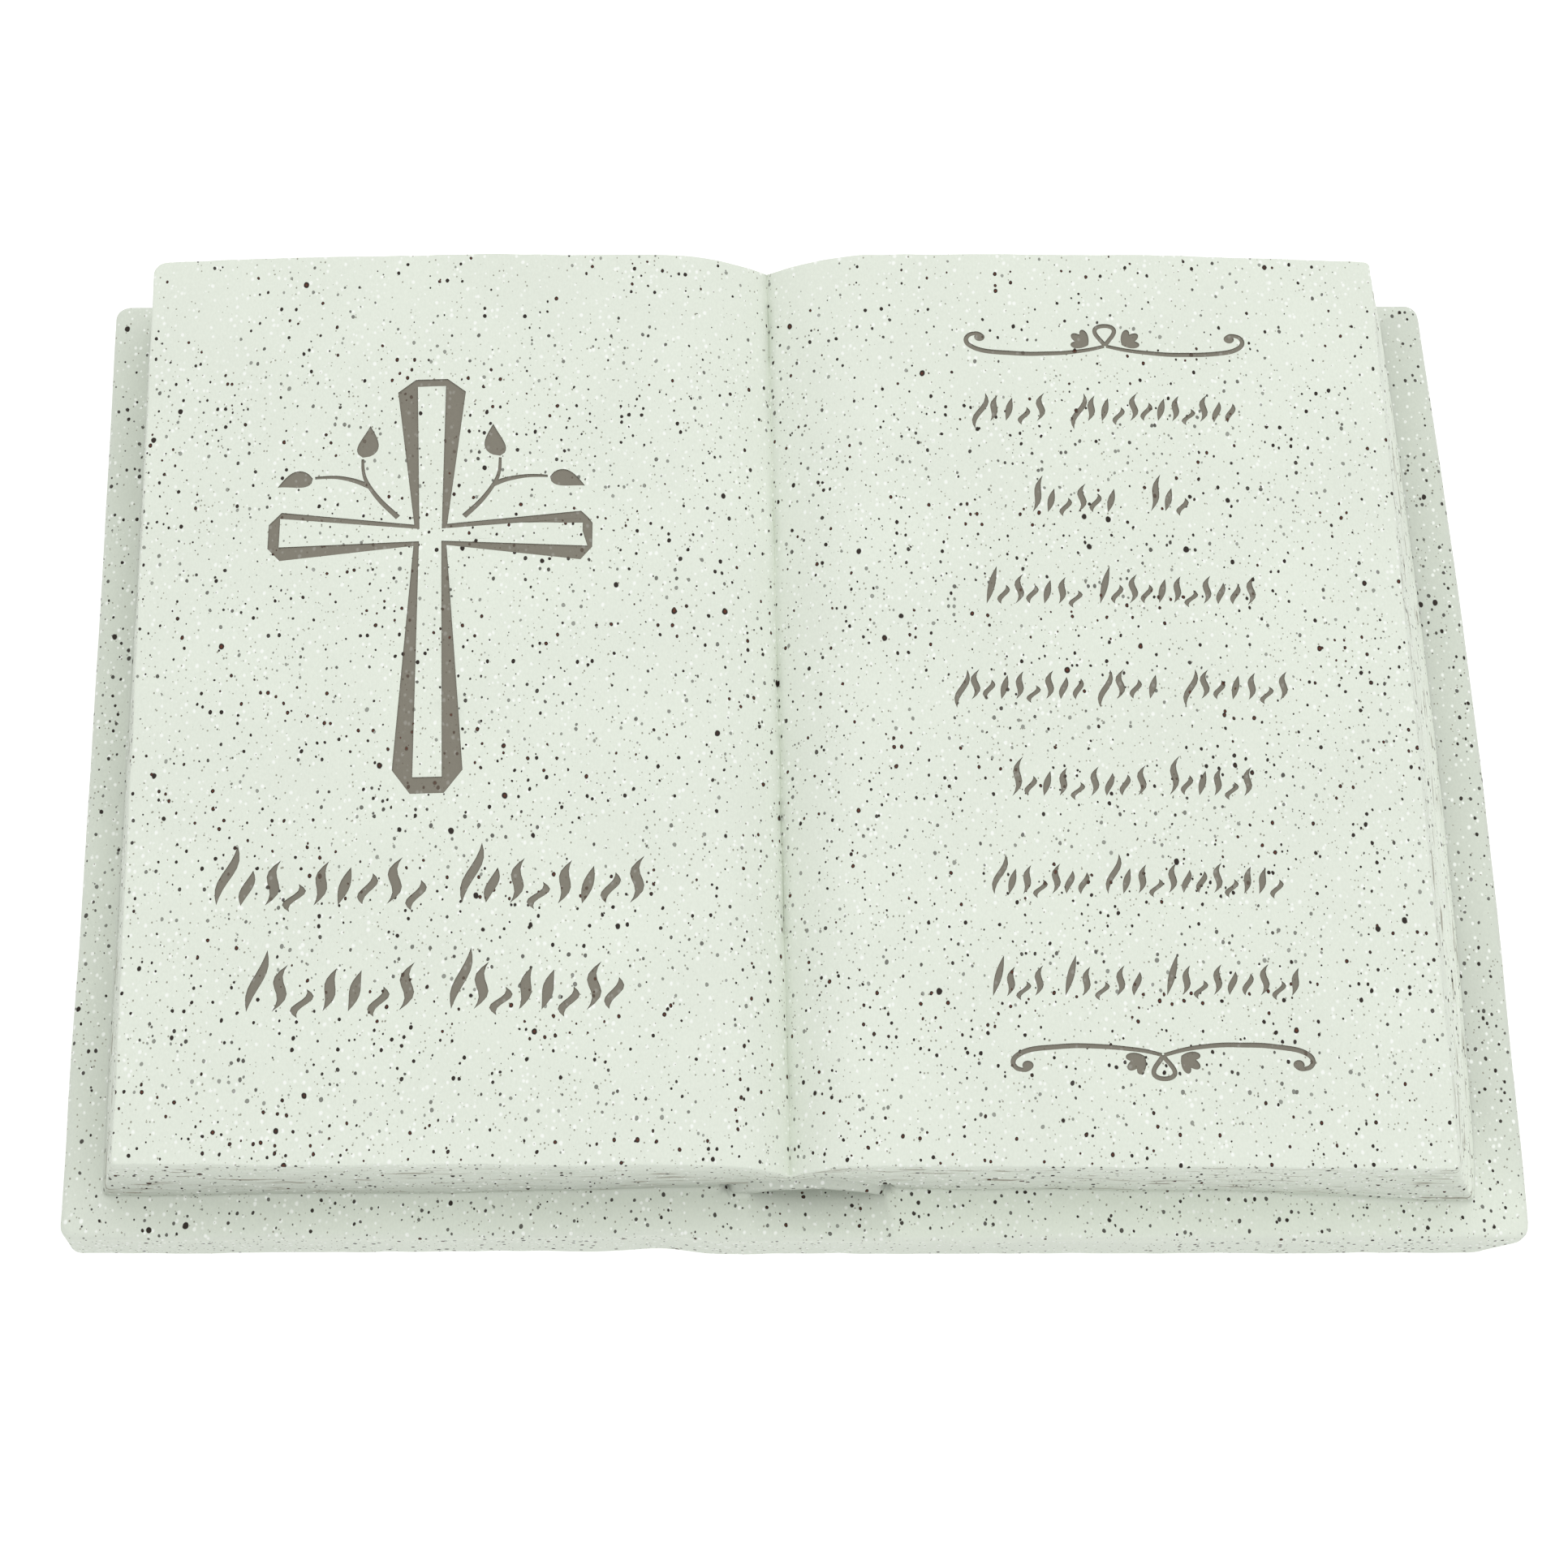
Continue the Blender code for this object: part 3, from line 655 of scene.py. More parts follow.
@dataclass
class Rings:
    """A stack of rings under construction: heights, and how far each stands off the pages on each side."""

    count: int
    heights: list = field(default_factory=list)
    outs: list = field(default_factory=list)
    walls: list = field(default_factory=list)
    painted_shades: list = field(default_factory=list)

    def add(self, height: np.ndarray, out: np.ndarray, wall: float = 0.0, painted_shade: float = 0.0) -> None:
        """Adds one ring.

        Args:
            height: Heights, one to a column.
            out: Amounts off the pages, four sides by columns.
            wall: Share down the wall of the pages, 0 elsewhere.
            painted_shade: How much painted shade lies there, from 0 to 1.
        """
        self.heights.append(height + np.zeros(self.count))
        self.outs.append(out + np.zeros((4, self.count)))
        self.walls.append(wall + np.zeros(self.count))
        self.painted_shades.append(painted_shade + np.zeros(self.count))


@dataclass(frozen=True)
class PaintedShading:
    """How much painted shade lies on the parts of the skin: 0 is none, and below 0 is painted light, paler
    than the rest.

    A pair gives the shares between which a tone changes.
    """

    # Painted shade at the foot of the walls of the pages, where they meet the cover, and in the hollow.
    front_foot: float = 0.5
    front_foot_end: tuple = (0.45, 0.6)
    right_foot: float = 1.25
    left_foot: float = 0.5
    left_growth: float = 0.35
    corner: tuple = (0.0, 0.12)
    hollow: float = 0.6
    # Painted shade on the walls of the pages; the right wall's value below 0 is painted light.
    front_wall: float = 1.4
    front_wall_loss: float = 0.95
    front_wall_end: tuple = (0.45, 0.7)
    left_wall: float = 0.6
    right_wall: float = -1.0
    # Painted shadow in the creases beside the lip, at their foot and in the slit under the lip.
    crease: float = 3.2
    crease_foot: float = 1.92
    under_lip: float = 2.6
    under_lip_end: tuple = (0.45, 0.75)
    # How the painted shade fades over the cover and round its edge, and painted shade on its side.
    cover_loss: float = 0.3
    cover_edge: float = 0.7
    cover_side: float = 0.3
    # Painted shade along the fold of the gutter.
    gutter: float = 0.5
    gutter_width: float = 0.0011


@dataclass(frozen=True)
class PageRelief:
    """The relief of the page edges: sets of sine lines that waver and fade along the wall."""

    depth: float = 0.00018
    sets: tuple = (8, 13, 19)
    waver: float = 0.35
    waver_length: float = 0.045
    waver_seed: int = 40
    strength: float = 0.55
    fading: float = 0.45
    fade_length: float = 0.03
    fade_drift: float = 0.01
    fade_seed: int = 50
    strongest: float = 1.2
    start: tuple = (0.04, 0.12)
    end: tuple = (0.88, 0.97)


@dataclass(frozen=True)
class Slits:
    """The narrow slits in the bottom of the gutter: front end, back end and depth of each."""

    width: float = 0.0004
    depth: float = 0.0004
    change: float = 0.0002
    change_length: float = 0.02
    change_seed: int = 8
    run_out: float = 0.002
    deep: tuple = ((0.058, 0.070, 0.0005), (-0.037, -0.013, 0.00035))


@dataclass
class Leaves:
    """The open pages as a mesh: where its points lie, its faces, and the points of its border."""

    points: np.ndarray
    plain: np.ndarray
    sunk: np.ndarray
    walls: np.ndarray
    rim: np.ndarray


@dataclass
class Book:
    """The casting as one closed skin."""

    plan: Plan = field(default_factory=Plan)
    spine: Spine = field(default_factory=Spine)
    steps: Steps = field(default_factory=Steps)
    painted_shading: PaintedShading = field(default_factory=PaintedShading)
    relief: PageRelief = field(default_factory=PageRelief)
    slits: Slits = field(default_factory=Slits)
    page_edge: float = 0.00028
    fillet: float = 0.0007
    cover_edge: float = 0.0009
    foot_edge: float = 0.0006
    page_corner: float = 0.0009
    worn_page_corner: float = 0.0022
    cover_corner: float = 0.0022
    worn_cover_corner: float = 0.008
    corner_wear: float = 1.6
    left_flare: float = 0.0032
    right_flare: float = 0.00605
    right_bow: float = 0.0011
    right_cut: float = 0.0012
    right_cut_reach: float = 0.08
    front_left_flare: float = 0.0011
    front_left_end: float = 0.45
    front_right_flare: float = 0.0015
    front_right_start: float = 0.8
    spine_set_back: float = 0.0006
    spine_set_back_at: float = 0.49
    spine_set_back_width: float = 0.13
    back_flare: float = 0.0007
    flare_bend: float = 1.1
    edge_dent: float = 0.0004
    edge_dent_at: float = -0.022
    edge_dent_width: float = 0.004
    lines_above_lip: float = 0.0002
    lip_without_lines: float = 0.02
    skew_reach: float = 0.012
    unevenness: tuple = (
        (2, 0.00005, 0.022, 3), (2, 0.00003, 0.007, 4), (0, 0.00006, 0.02, 5),
        (1, 0.00007, 0.02, 6), (1, 0.00004, 0.006, 7),
    )
    flat_foot: float = 0.004

    def __post_init__(self) -> None:
        """Settles the columns: their shares across and along the pages, the spine and the painted shade."""
        plan, spine, painted_shading = self.plan, self.spine, self.painted_shading
        self.carving = Carving(plan)
        self.across_lines = graded(plan.pages_right - plan.pages_left, self.steps, True)
        self.along_lines = graded(plan.pages_depth, self.steps, False)
        across, along = self.across_lines[:-1], self.along_lines[:-1]
        zero, one = np.zeros_like, np.ones_like
        self.across = np.concatenate([across, one(along), 1 - across, zero(along)])
        self.along = np.concatenate([zero(across), along, one(across), 1 - along])
        self.columns = len(self.across)
        self.x_plain = blend(plan.pages_left, plan.pages_right, self.across)
        front, at_end = self.along == 0, (self.along == 0) | (self.along == 1)
        right, left = self.across == 1, (self.across == 0) & ~front
        self.ends = np.array([1.0, 0.0, 1.0, 0.0])[:, None]
        self.hollow = spine.arch(self.x_plain, spine.offset, spine.hollow_half) * at_end
        self.hollow_floor = spine.hollow_depth * self.hollow**spine.hollow_fullness
        self.in_hollow = ease(self.hollow, 0.0, spine.hollow_start)
        self.lip = spine.arch(self.x_plain, spine.lip_offset, spine.lip_half) * at_end
        self.in_lip = ease(self.lip, 0.0, spine.lip_start)
        self.creased = front * sum(np.exp(-((self.x_plain - middle) / spine.crease_width) ** 2)
                                   for middle in (spine.crease_left, spine.crease_right))
        # Painted shade at the foot of the walls and in the hollow, and on the walls; paler on the right wall,
        # painted light.
        from_corner = ease(self.along, *painted_shading.corner)
        front_foot = painted_shading.front_foot * (1 - ease(self.across, *painted_shading.front_foot_end))
        left_foot = painted_shading.left_foot + painted_shading.left_growth * from_corner
        foot = np.where(front, front_foot, np.where(right, painted_shading.right_foot * from_corner, left_foot))
        self.foot_shade = np.maximum(foot, painted_shading.hollow * self.in_hollow)
        front_wall = painted_shading.front_wall - painted_shading.front_wall_loss * ease(self.across, *painted_shading.front_wall_end)
        self.wall_shade = np.select([front, left, right], [front_wall, painted_shading.left_wall, painted_shading.right_wall])

    def ring_place(self, out: np.ndarray) -> tuple[np.ndarray, np.ndarray]:
        """Places of one ring's columns, before its corners are rounded.

        Args:
            out: How far the ring stands off the pages, four sides by columns.

        Returns:
            The places, as x and y.
        """
        plan = self.plan
        left = plan.pages_left - out[Side.LEFT.value]
        right = plan.pages_right + out[Side.RIGHT.value]
        front = plan.front_of_pages(self.x_plain) - out[Side.FRONT.value]
        back = plan.pages_back + out[Side.BACK.value]
        return blend(left, right, self.across), blend(front, back, self.along)

    def flare(self) -> np.ndarray:
        """How far the foot of the pages stands out beyond their top edge.

        On the right it bows as a half sine wave, less a cut that dies away from the front. On the
        front it grows to both ends, less a bell curve at the spine.

        Returns:
            Amounts, four sides by columns.
        """
        left = np.full(self.columns, self.left_flare)
        right = (self.right_flare + self.right_bow * np.sin(math.pi * self.along)
                 - self.right_cut * np.exp(-self.along / self.right_cut_reach))
        front = (self.front_left_flare * np.clip(1 - self.across / self.front_left_end, 0, None)
                 + self.front_right_flare * ease(self.across, self.front_right_start, 1)
                 - self.spine_set_back
                 * np.exp(-((self.across - self.spine_set_back_at) / self.spine_set_back_width) ** 2))
        return np.stack([front, right, np.full(self.columns, self.back_flare), left])

    def cover_limit(self) -> np.ndarray:
        """How far the edge of the cover stands out beyond the top edge of the pages.

        The right side bows out and the left side in, each as half a sine wave. The front has a small
        dent beside the spine, a bell curve.

        Returns:
            Amounts, four sides by columns.
        """
        plan = self.plan
        bulge = np.sin(math.pi * self.along)
        left = plan.pages_left + plan.width / 2 - plan.left_hollow * bulge
        right = plan.width / 2 - plan.right_bow * (1 - bulge) - plan.pages_right
        front = (plan.front_of_pages(self.x_plain) - plan.front_of_cover(self.x_plain)
                 - self.edge_dent * np.exp(-((self.x_plain - self.edge_dent_at) / self.edge_dent_width) ** 2))
        back = np.full(self.columns, plan.depth / 2 - plan.pages_back)
        return np.stack([front, right, back, left])

    def run(self) -> np.ndarray:
        """Distance of each column along the ring.

        Returns:
            Distances from the front left corner.
        """
        step = np.hypot(np.diff(self.across, append=0) * 2 * self.plan.leaf,
                        np.diff(self.along, append=0) * self.plan.pages_depth)
        return np.concatenate(([0], np.cumsum(step)[:-1]))

    def page_lines(self, share: float) -> np.ndarray:
        """Relief of the page edges: sets of sines of the way down, shifted and weighted by ripples.

        Args:
            share: Share down the wall.

        Returns:
            How far each column stands out.
        """
        relief, run = self.relief, self.run()
        total = np.zeros(self.columns)
        for number, lines in enumerate(relief.sets):
            waver = relief.waver * ripple(run, 0 * run, relief.waver_length, relief.waver_seed + number)
            drift = 0 * run + share * relief.fade_drift
            fading = ripple(run, drift, relief.fade_length, relief.fade_seed + number)
            strength = np.clip(relief.strength + relief.fading * fading, 0, relief.strongest)
            total += strength * np.sin(2 * math.pi * (lines * share + waver)) / 2
        return relief.depth * total * ease(share, *relief.start) * (1 - ease(share, *relief.end))

    def add_walls(self, rings: Rings) -> None:
        """Adds the walls of the pages: a quarter circle round the top edge, then the way down.

        The wall leans out as a power of the share down it. Below the top of the spine's lip it stands
        out with the lip, less the two creases beside it.

        Args:
            rings: The stack of rings.
        """
        plan, spine, edge = self.plan, self.spine, self.page_edge
        inset = np.full((4, self.columns), -edge)
        top = plan.page_top(*self.ring_place(inset))
        for angle in np.linspace(0, math.pi / 2, self.steps.page_edge + 1)[1:]:
            rings.add(top - edge * (1 - math.cos(angle)), inset * (1 - math.sin(angle)))
        foot = plan.thickness + blend(self.fillet, spine.hollow_rise * self.hollow, self.in_hollow)
        lip_top = (spine.hollow_rise + spine.lip_wall) * self.lip + spine.lip_foot
        flare = self.flare()
        for share in np.linspace(0, 1, self.steps.wall + 1)[1:]:
            height = blend(top - edge, foot, share)
            below = lip_top - (height - plan.thickness)
            creased = self.creased * ease(
                spine.crease_height - (height - plan.thickness), 0.0, spine.crease_fade)
            lip_out = spine.lip_out * ease(below, 0.0, spine.shoulder) * self.in_lip
            out = lip_out - spine.crease_depth * creased
            plain = (below > -self.lines_above_lip) & (self.lip > self.lip_without_lines)
            # The last value is painted shade, growing down the walls and darkest in the creases.
            rings.add(height, flare * share**self.flare_bend + self.page_lines(share) + out * self.ends,
                      np.where(plain, 0.0, share), self.wall_shade * share + self.painted_shading.crease * creased)

    def add_recess(self, rings: Rings) -> None:
        """Adds what lies between the walls and the cover.

        Along most of the way it is a fillet, a quarter circle. Under the lip the rings go back along
        the hollow's ceiling, down its back and out over its floor.

        Args:
            rings: The stack of rings.
        """
        spine, steps, painted_shading = self.spine, self.steps, self.painted_shading
        ceiling, floor = spine.hollow_rise * self.hollow, self.hollow_floor
        pull_back = spine.reach * np.sqrt(self.hollow)
        corners = ((-pull_back, spine.ceiling_at_back * ceiling), (-pull_back, -floor),
                   (-spine.lip_out * self.in_lip, -floor))
        start = rings.outs[-1]
        total, done = sum(steps.recess), 0
        from_out, from_height = np.zeros(self.columns), ceiling
        for (to_out, to_height), count in zip(corners, steps.recess):
            for step in range(1, count + 1):
                done += 1
                angle = math.pi / 2 * done / total
                fillet_out = self.fillet * (1 - math.cos(angle))
                fillet_height = self.fillet * (1 - math.sin(angle))
                out = blend(fillet_out, blend(from_out, to_out, step / count), self.in_hollow)
                height = blend(fillet_height, blend(from_height, to_height, step / count), self.in_hollow)
                # Painted shadow in the slit under the lip, and painted shade at the foot of the walls and in
                # the creases.
                under_lip = painted_shading.under_lip * self.in_hollow * (1 - ease(done / total, *painted_shading.under_lip_end))
                painted_shade = np.maximum(self.foot_shade + painted_shading.crease_foot * self.creased, under_lip)
                rings.add(self.plan.thickness + height, start + blend(fillet_out, out, self.ends), 0.0, painted_shade)
            from_out, from_height = to_out, to_height

    def add_cover(self, rings: Rings) -> None:
        """Adds the cover: out over it, round its edge, down its side and in under it.

        The hollow gets shallow towards the edge as a power of the share out, and a low ridge, a bell
        curve, stands on each side of it.

        Args:
            rings: The stack of rings.
        """
        spine, steps, painted_shading, edge = self.spine, self.steps, self.painted_shading, self.cover_edge
        thickness, start, limit = self.plan.thickness, rings.outs[-1], self.cover_limit()
        beside = np.abs(self.x_plain - spine.offset) / spine.hollow_half
        ridge = spine.ridge * np.exp(-((beside - spine.ridge_place) / spine.ridge_width) ** 2)
        ridge *= self.along == 0
        dips = -self.hollow_floor
        for share in np.linspace(0, 1, steps.margin + 1)[1:]:
            rise = ridge * (1 - share) ** spine.ridge_fall * ease(share, *spine.ridge_start)
            dips = rise - self.hollow_floor * blend(1.0, spine.hollow_at_edge, share**spine.hollow_fall)
            # Painted shade from the foot of the pages, fading out over the cover.
            rings.add(thickness + dips, blend(start, limit - edge, share), 0.0,
                      self.foot_shade * (1 - painted_shading.cover_loss * share))
        for angle in np.linspace(0, math.pi / 2, steps.rounding + 1)[1:]:
            height = thickness - edge * (1 - math.cos(angle)) + dips * math.cos(angle)
            # Painted shade fading out round the cover's edge.
            rings.add(height, limit - edge * (1 - math.sin(angle)), 0.0,
                      painted_shading.cover_edge * self.foot_shade * math.cos(angle))
        for share in np.linspace(0, 1, steps.side + 1)[1:]:
            # Painted shade on the side of the cover.
            rings.add(blend(thickness - edge, self.foot_edge, share), limit, 0.0, painted_shading.cover_side)
        for angle in np.linspace(0, math.pi / 2, steps.foot + 1)[1:]:
            rings.add(self.foot_edge * (1 - math.sin(angle)), limit - self.foot_edge * (1 - math.cos(angle)))

    def round_rings(self, rings: Rings) -> np.ndarray:
        """Places of the rings, with corners whose radii grow from the pages to the cover.

        Args:
            rings: The stack of rings.

        Returns:
            Rings by columns by three coordinates.
        """
        steps, count = self.steps, len(rings.heights)
        across_cut, along_cut = len(self.across_lines) - 1, len(self.along_lines) - 1
        corners = (0, across_cut, across_cut + along_cut, 2 * across_cut + along_cut)
        points = np.empty((count, self.columns, 3))
        for number in range(count):
            x, y = self.ring_place(rings.outs[number])
            radii = np.array([self.page_corner] * 3 + [self.worn_page_corner])
            radii -= self.page_edge * (1 - min(1.0, (number + 1) / steps.page_edge))
            if number >= steps.first_cover_ring:
                share = min(1.0, (number - steps.first_cover_ring + 1) / steps.margin)
                down = max(0.0, (number - steps.first_side_ring) / (count - 1 - steps.first_side_ring))
                radii = blend(radii, self.cover_corner, share)
                radii[1] = blend(radii[1], self.worn_cover_corner, min(1.0, self.corner_wear * down))
            x, y = round_corners(x, y, [(x[corner], y[corner]) for corner in corners], radii)
            points[number] = np.stack([x, y, rings.heights[number]], 1)
        return points

    def slit_depth(self, x: np.ndarray, y: np.ndarray) -> np.ndarray:
        """Depth of the slits: a bell curve across the gutter, deeper on two stretches.

        Args:
            x: Places across the book.
            y: Places along its depth.

        Returns:
            The depths.
        """
        slits = self.slits
        total = slits.depth + slits.change * ripple(x * 0, y, slits.change_length, slits.change_seed)
        for low, high, depth in slits.deep:
            total += depth * ease(y, low, low + slits.run_out) * (1 - ease(y, high - slits.run_out, high))
        return total * np.exp(-((x - self.plan.gutter) / slits.width) ** 2)

    def open_pages(self) -> Leaves:
        """The open pages as triangles, with the carving let in.

        The grid's nodes and the outlines of the carving go through a Delaunay triangulation on the
        plain rectangle. Nodes closer than a set distance to an outline are left out first. Triangles
        whose middle lies in an outline are set lower, and walls close the step.

        Returns:
            The mesh of the pages.
        """
        plan, edge = self.plan, self.page_edge
        left, right = plan.pages_left + edge, plan.pages_right - edge
        front, back = plan.pages_front + edge, plan.pages_back - edge
        across, along = np.meshgrid(self.across_lines, self.along_lines)
        nodes = np.stack([blend(left, right, across), blend(front, back, along)], -1)
        border = np.ones(across.shape, bool)
        border[1:-1, 1:-1] = False
        nodes, border = nodes.reshape(-1, 2), border.ravel()
        outlines = self.carving.draw()
        drawn = np.vstack(outlines)
        nodes = nodes[border | ~self.close_to(nodes, drawn, self.steps.clearance)]
        links, start = [], 0
        for outline in outlines:
            own = np.arange(len(outline)) + start
            links.append(np.stack([own, np.roll(own, -1)], 1))
            start += len(outline)
        given = [Vector(point) for point in (np.vstack([drawn, nodes]) / MM).tolist()]
        result = delaunay_2d_cdt(given, np.vstack(links).tolist(), [], 0, SAME_PLACE, False)
        flat = np.array([tuple(point) for point in result[0]]) * MM
        triangles = np.array(result[2])
        area = self.twice_area(flat, triangles)
        triangles[area < 0] = triangles[area < 0][:, ::-1]
        triangles = triangles[np.abs(area) > SLIVER]
        middles = flat[triangles].mean(1)
        sunk = np.any([within(middles, outline) for outline in outlines], axis=0)
        sunk = self.without_pinches(triangles, sunk)
        corners = np.array([(left, front), (right, front), (right, back), (left, back)])
        radii = np.array([self.page_corner] * 3 + [self.worn_page_corner]) - edge
        x, y = round_corners(*self.skewed(flat), list(zip(*self.skewed(corners))), radii)
        points = np.stack([x, y, plan.page_top(x, y) - self.slit_depth(x, y)], 1)
        points, lowered, walls = self.sink(points, triangles[sunk])
        return Leaves(points, triangles[~sunk], lowered, walls, self.rim_of(flat, triangles, corners))

    @staticmethod
    def without_pinches(triangles: np.ndarray, sunk: np.ndarray) -> np.ndarray:
        """Sinks the triangles round each point where two sunk patches would only touch.

        Args:
            triangles: All triangles.
            sunk: Which of them are sunk.

        Returns:
            Which of them are sunk then.
        """
        size = triangles.max() + 1
        for _ in range(PINCH_ROUNDS):
            starts = rim_edges(triangles[sunk], size)[:, 0]
            pinched = np.flatnonzero(np.bincount(starts, minlength=size) > 1)
            sunk = sunk | np.isin(triangles, pinched).any(1)
        return sunk

    @staticmethod
    def close_to(nodes: np.ndarray, drawn: np.ndarray, limit: float) -> np.ndarray:
        """Which nodes lie closer than a limit to a drawn point, looked up by cells of that size.

        Args:
            nodes: Points to be tested.
            drawn: The drawn points.
            limit: The distance.

        Returns:
            A truth value for each node.
        """
        keys = np.round(drawn / limit).astype(np.int64)
        around = [(x, y) for x in (-1, 0, 1) for y in (-1, 0, 1)]
        taken = np.concatenate([(keys[:, 0] + x) * KEY_STRIDE + keys[:, 1] + y for x, y in around])
        own = np.round(nodes / limit).astype(np.int64)
        return np.isin(own[:, 0] * KEY_STRIDE + own[:, 1], taken)

    @staticmethod
    def twice_area(flat: np.ndarray, triangles: np.ndarray) -> np.ndarray:
        """Twice the signed area of flat triangles."""
        a, b, c = (flat[triangles[:, number]] for number in range(3))
        return (b[:, 0] - a[:, 0]) * (c[:, 1] - a[:, 1]) - (b[:, 1] - a[:, 1]) * (c[:, 0] - a[:, 0])

    def skewed(self, flat: np.ndarray) -> tuple[np.ndarray, np.ndarray]:
        """Places with the front edge's skew, which fades out as a squared ramp.

        Args:
            flat: Places on the plain rectangle.

        Returns:
            The places, as x and y.
        """
        plan = self.plan
        behind = flat[:, 1] - plan.pages_front
        weight = np.clip(1 - behind / self.skew_reach, 0, 1) ** 2
        weight = np.where(behind <= self.page_edge + ON_LINE, 1.0, weight)
        return flat[:, 0], flat[:, 1] - plan.front_skew * (flat[:, 0] - plan.gutter) / plan.leaf * weight

    def sink(self, points: np.ndarray, inner: np.ndarray) -> tuple[np.ndarray, np.ndarray, np.ndarray]:
        """Sets triangles lower and closes the step round them with walls.

        Args:
            points: All points of the pages.
            inner: The triangles to be sunk.

        Returns:
            The points with the lowered ones behind them, the lowered triangles and the walls' quads.
        """
        used = np.unique(inner)
        lowered = np.full(len(points), -1)
        lowered[used] = len(points) + np.arange(len(used))
        floor = points[used] - (0, 0, self.carving.sizes.depth)
        a, b = rim_edges(inner, len(points)).T
        return np.vstack([points, floor]), lowered[inner], np.stack([a, b, lowered[b], lowered[a]], 1)

    @staticmethod
    def rim_of(flat: np.ndarray, triangles: np.ndarray, corners: np.ndarray) -> np.ndarray:
        """Points on the border, in the order of the rings' columns.

        Args:
            flat: Places on the plain rectangle.
            triangles: The triangles, of which a point on the border has at least one.
            corners: Corners of the rectangle, from the front left one round to the right.

        Returns:
            The points' numbers.
        """
        (left, front), (right, back) = corners[0], corners[2]
        x, y = flat.T
        on_left, on_right = x < left + ON_LINE, x > right - ON_LINE
        on_front, on_back = y < front + ON_LINE, y > back - ON_LINE
        on_border = on_left | on_right | on_front | on_back
        across, along = (x - left) / (right - left), (y - front) / (back - front)
        ahead = np.select([on_front & ~on_right, on_right & ~on_back, on_back & ~on_left],
                          [across, 1 + along, 3 - across], 4 - along)
        rim = np.flatnonzero(on_border & np.isin(np.arange(len(flat)), triangles))
        return rim[np.argsort(ahead[rim])]

    def uneven(self, points: np.ndarray) -> np.ndarray:
        """The slight unevenness of a casting: ripples along each axis, none in height at the foot.

        Args:
            points: The even places.

        Returns:
            The moved places.
        """
        moved = points.copy()
        for axis, depth, length, seed in self.unevenness:
            first, second = (points[:, other] for other in range(3) if other != axis)
            weight = ease(points[:, 2], 0.0, self.flat_foot) if axis == 2 else 1.0
            moved[:, axis] += depth * ripple(first, second, length, seed) * weight
        return moved

    def fit(self, points: np.ndarray) -> np.ndarray:
        """Lays the book into the box of its solid: each coordinate is scaled and moved alike.

        Args:
            points: The book's points.

        Returns:
            The fitted points.
        """
        low, high = (np.array(corner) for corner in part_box(NODE))
        start, end = points.min(0), points.max(0)
        log.info("book before the fit %s mm, box of its solid %s mm",
                 np.round((end - start) / MM, 2), np.round((high - low) / MM, 2))
        return low + (points - start) * (high - low) / (end - start)

    def build(self, stone: bpy.types.Material, paint: bpy.types.Material) -> bpy.types.Object:
        """Makes the closed skin as one object with the two finishes.

        Args:
            stone: Finish of the casting.
            paint: Finish of the carving.

        Returns:
            The book.
        """
        pages, rings = self.open_pages(), Rings(self.columns)
        for add_part in (self.add_walls, self.add_recess, self.add_cover):
            add_part(rings)
        if len(pages.rim) != self.columns:
            raise ValueError(f"{len(pages.rim)} border points meet {self.columns} columns")
        start = len(pages.points)
        own = start + np.arange(len(rings.heights) * self.columns).reshape(-1, self.columns)
        loops = np.vstack([pages.rim[None], own])
        upper, lower = loops[:-1], loops[1:]
        quads = np.stack([np.roll(upper, -1, 1), upper, lower, np.roll(lower, -1, 1)], -1).reshape(-1, 4)
        everything = np.vstack([pages.points, self.round_rings(rings).reshape(-1, 3)])
        x, y = self.plan.set_out(everything[:, 0], everything[:, 1])
        everything = self.fit(self.uneven(np.stack([x, y, everything[:, 2]], 1)))
        everything[own[-1], 2] = everything[own[-1], 2].min()
        painted = [*pages.sunk.tolist(), *pages.walls.tolist()]
        faces = [*pages.plain.tolist(), *painted, *quads.tolist(), own[-1][::-1].tolist()]
        mesh = bpy.data.meshes.new("open_book")
        mesh.from_pydata(everything.tolist(), [], faces)
        paints = np.zeros(len(faces), np.int32)
        paints[len(pages.plain):len(pages.plain) + len(painted)] = 1
        mesh.polygons.foreach_set("material_index", paints)
        # Painted shade along the fold of the gutter; it and the rings' painted shade go into one attribute.
        from_gutter = np.abs(pages.points[:, 0] - self.plan.gutter)
        gutter_shade = self.painted_shading.gutter * np.exp(-from_gutter / self.painted_shading.gutter_width)
        shares = {"page_line": (0 * gutter_shade, rings.walls), "painted_shade": (gutter_shade, rings.painted_shades)}
        for name, (on_pages, on_rings) in shares.items():
            values = np.concatenate([on_pages, *on_rings]).astype(np.float32)
            mesh.attributes.new(name, "FLOAT", "POINT").data.foreach_set("value", values)
        mesh.materials.append(stone)
        mesh.materials.append(paint)
        mesh.validate()
        self.check_closed(mesh)
        mesh.polygons.foreach_set("use_smooth", np.ones(len(mesh.polygons), bool))
        mesh.set_sharp_from_angle(angle=SHARP_ANGLE)
        book = bpy.data.objects.new("open_book", mesh)
        bpy.context.collection.objects.link(book)
        return book

    @staticmethod
    def check_closed(mesh: bpy.types.Mesh) -> None:
        """Stops the script if the skin has an open edge or faces turned inward.

        Args:
            mesh: The skin.
        """
        bm = bmesh.new()
        bm.from_mesh(mesh)
        loose = sum(1 for edge in bm.edges if len(edge.link_faces) != 2)
        turned = sum(1 for edge in bm.edges if len(edge.link_faces) == 2 and not edge.is_contiguous)
        volume = bm.calc_volume(signed=True)
        triangles = sum(len(face.verts) - 2 for face in bm.faces)
        bm.free()
        log.info("open book: %d triangles, %.3f litres, %d open edges, %d turned",
                 triangles, volume * 1000, loose, turned)
        if loose or turned or volume <= 0:
            raise ValueError("the skin isn't closed")


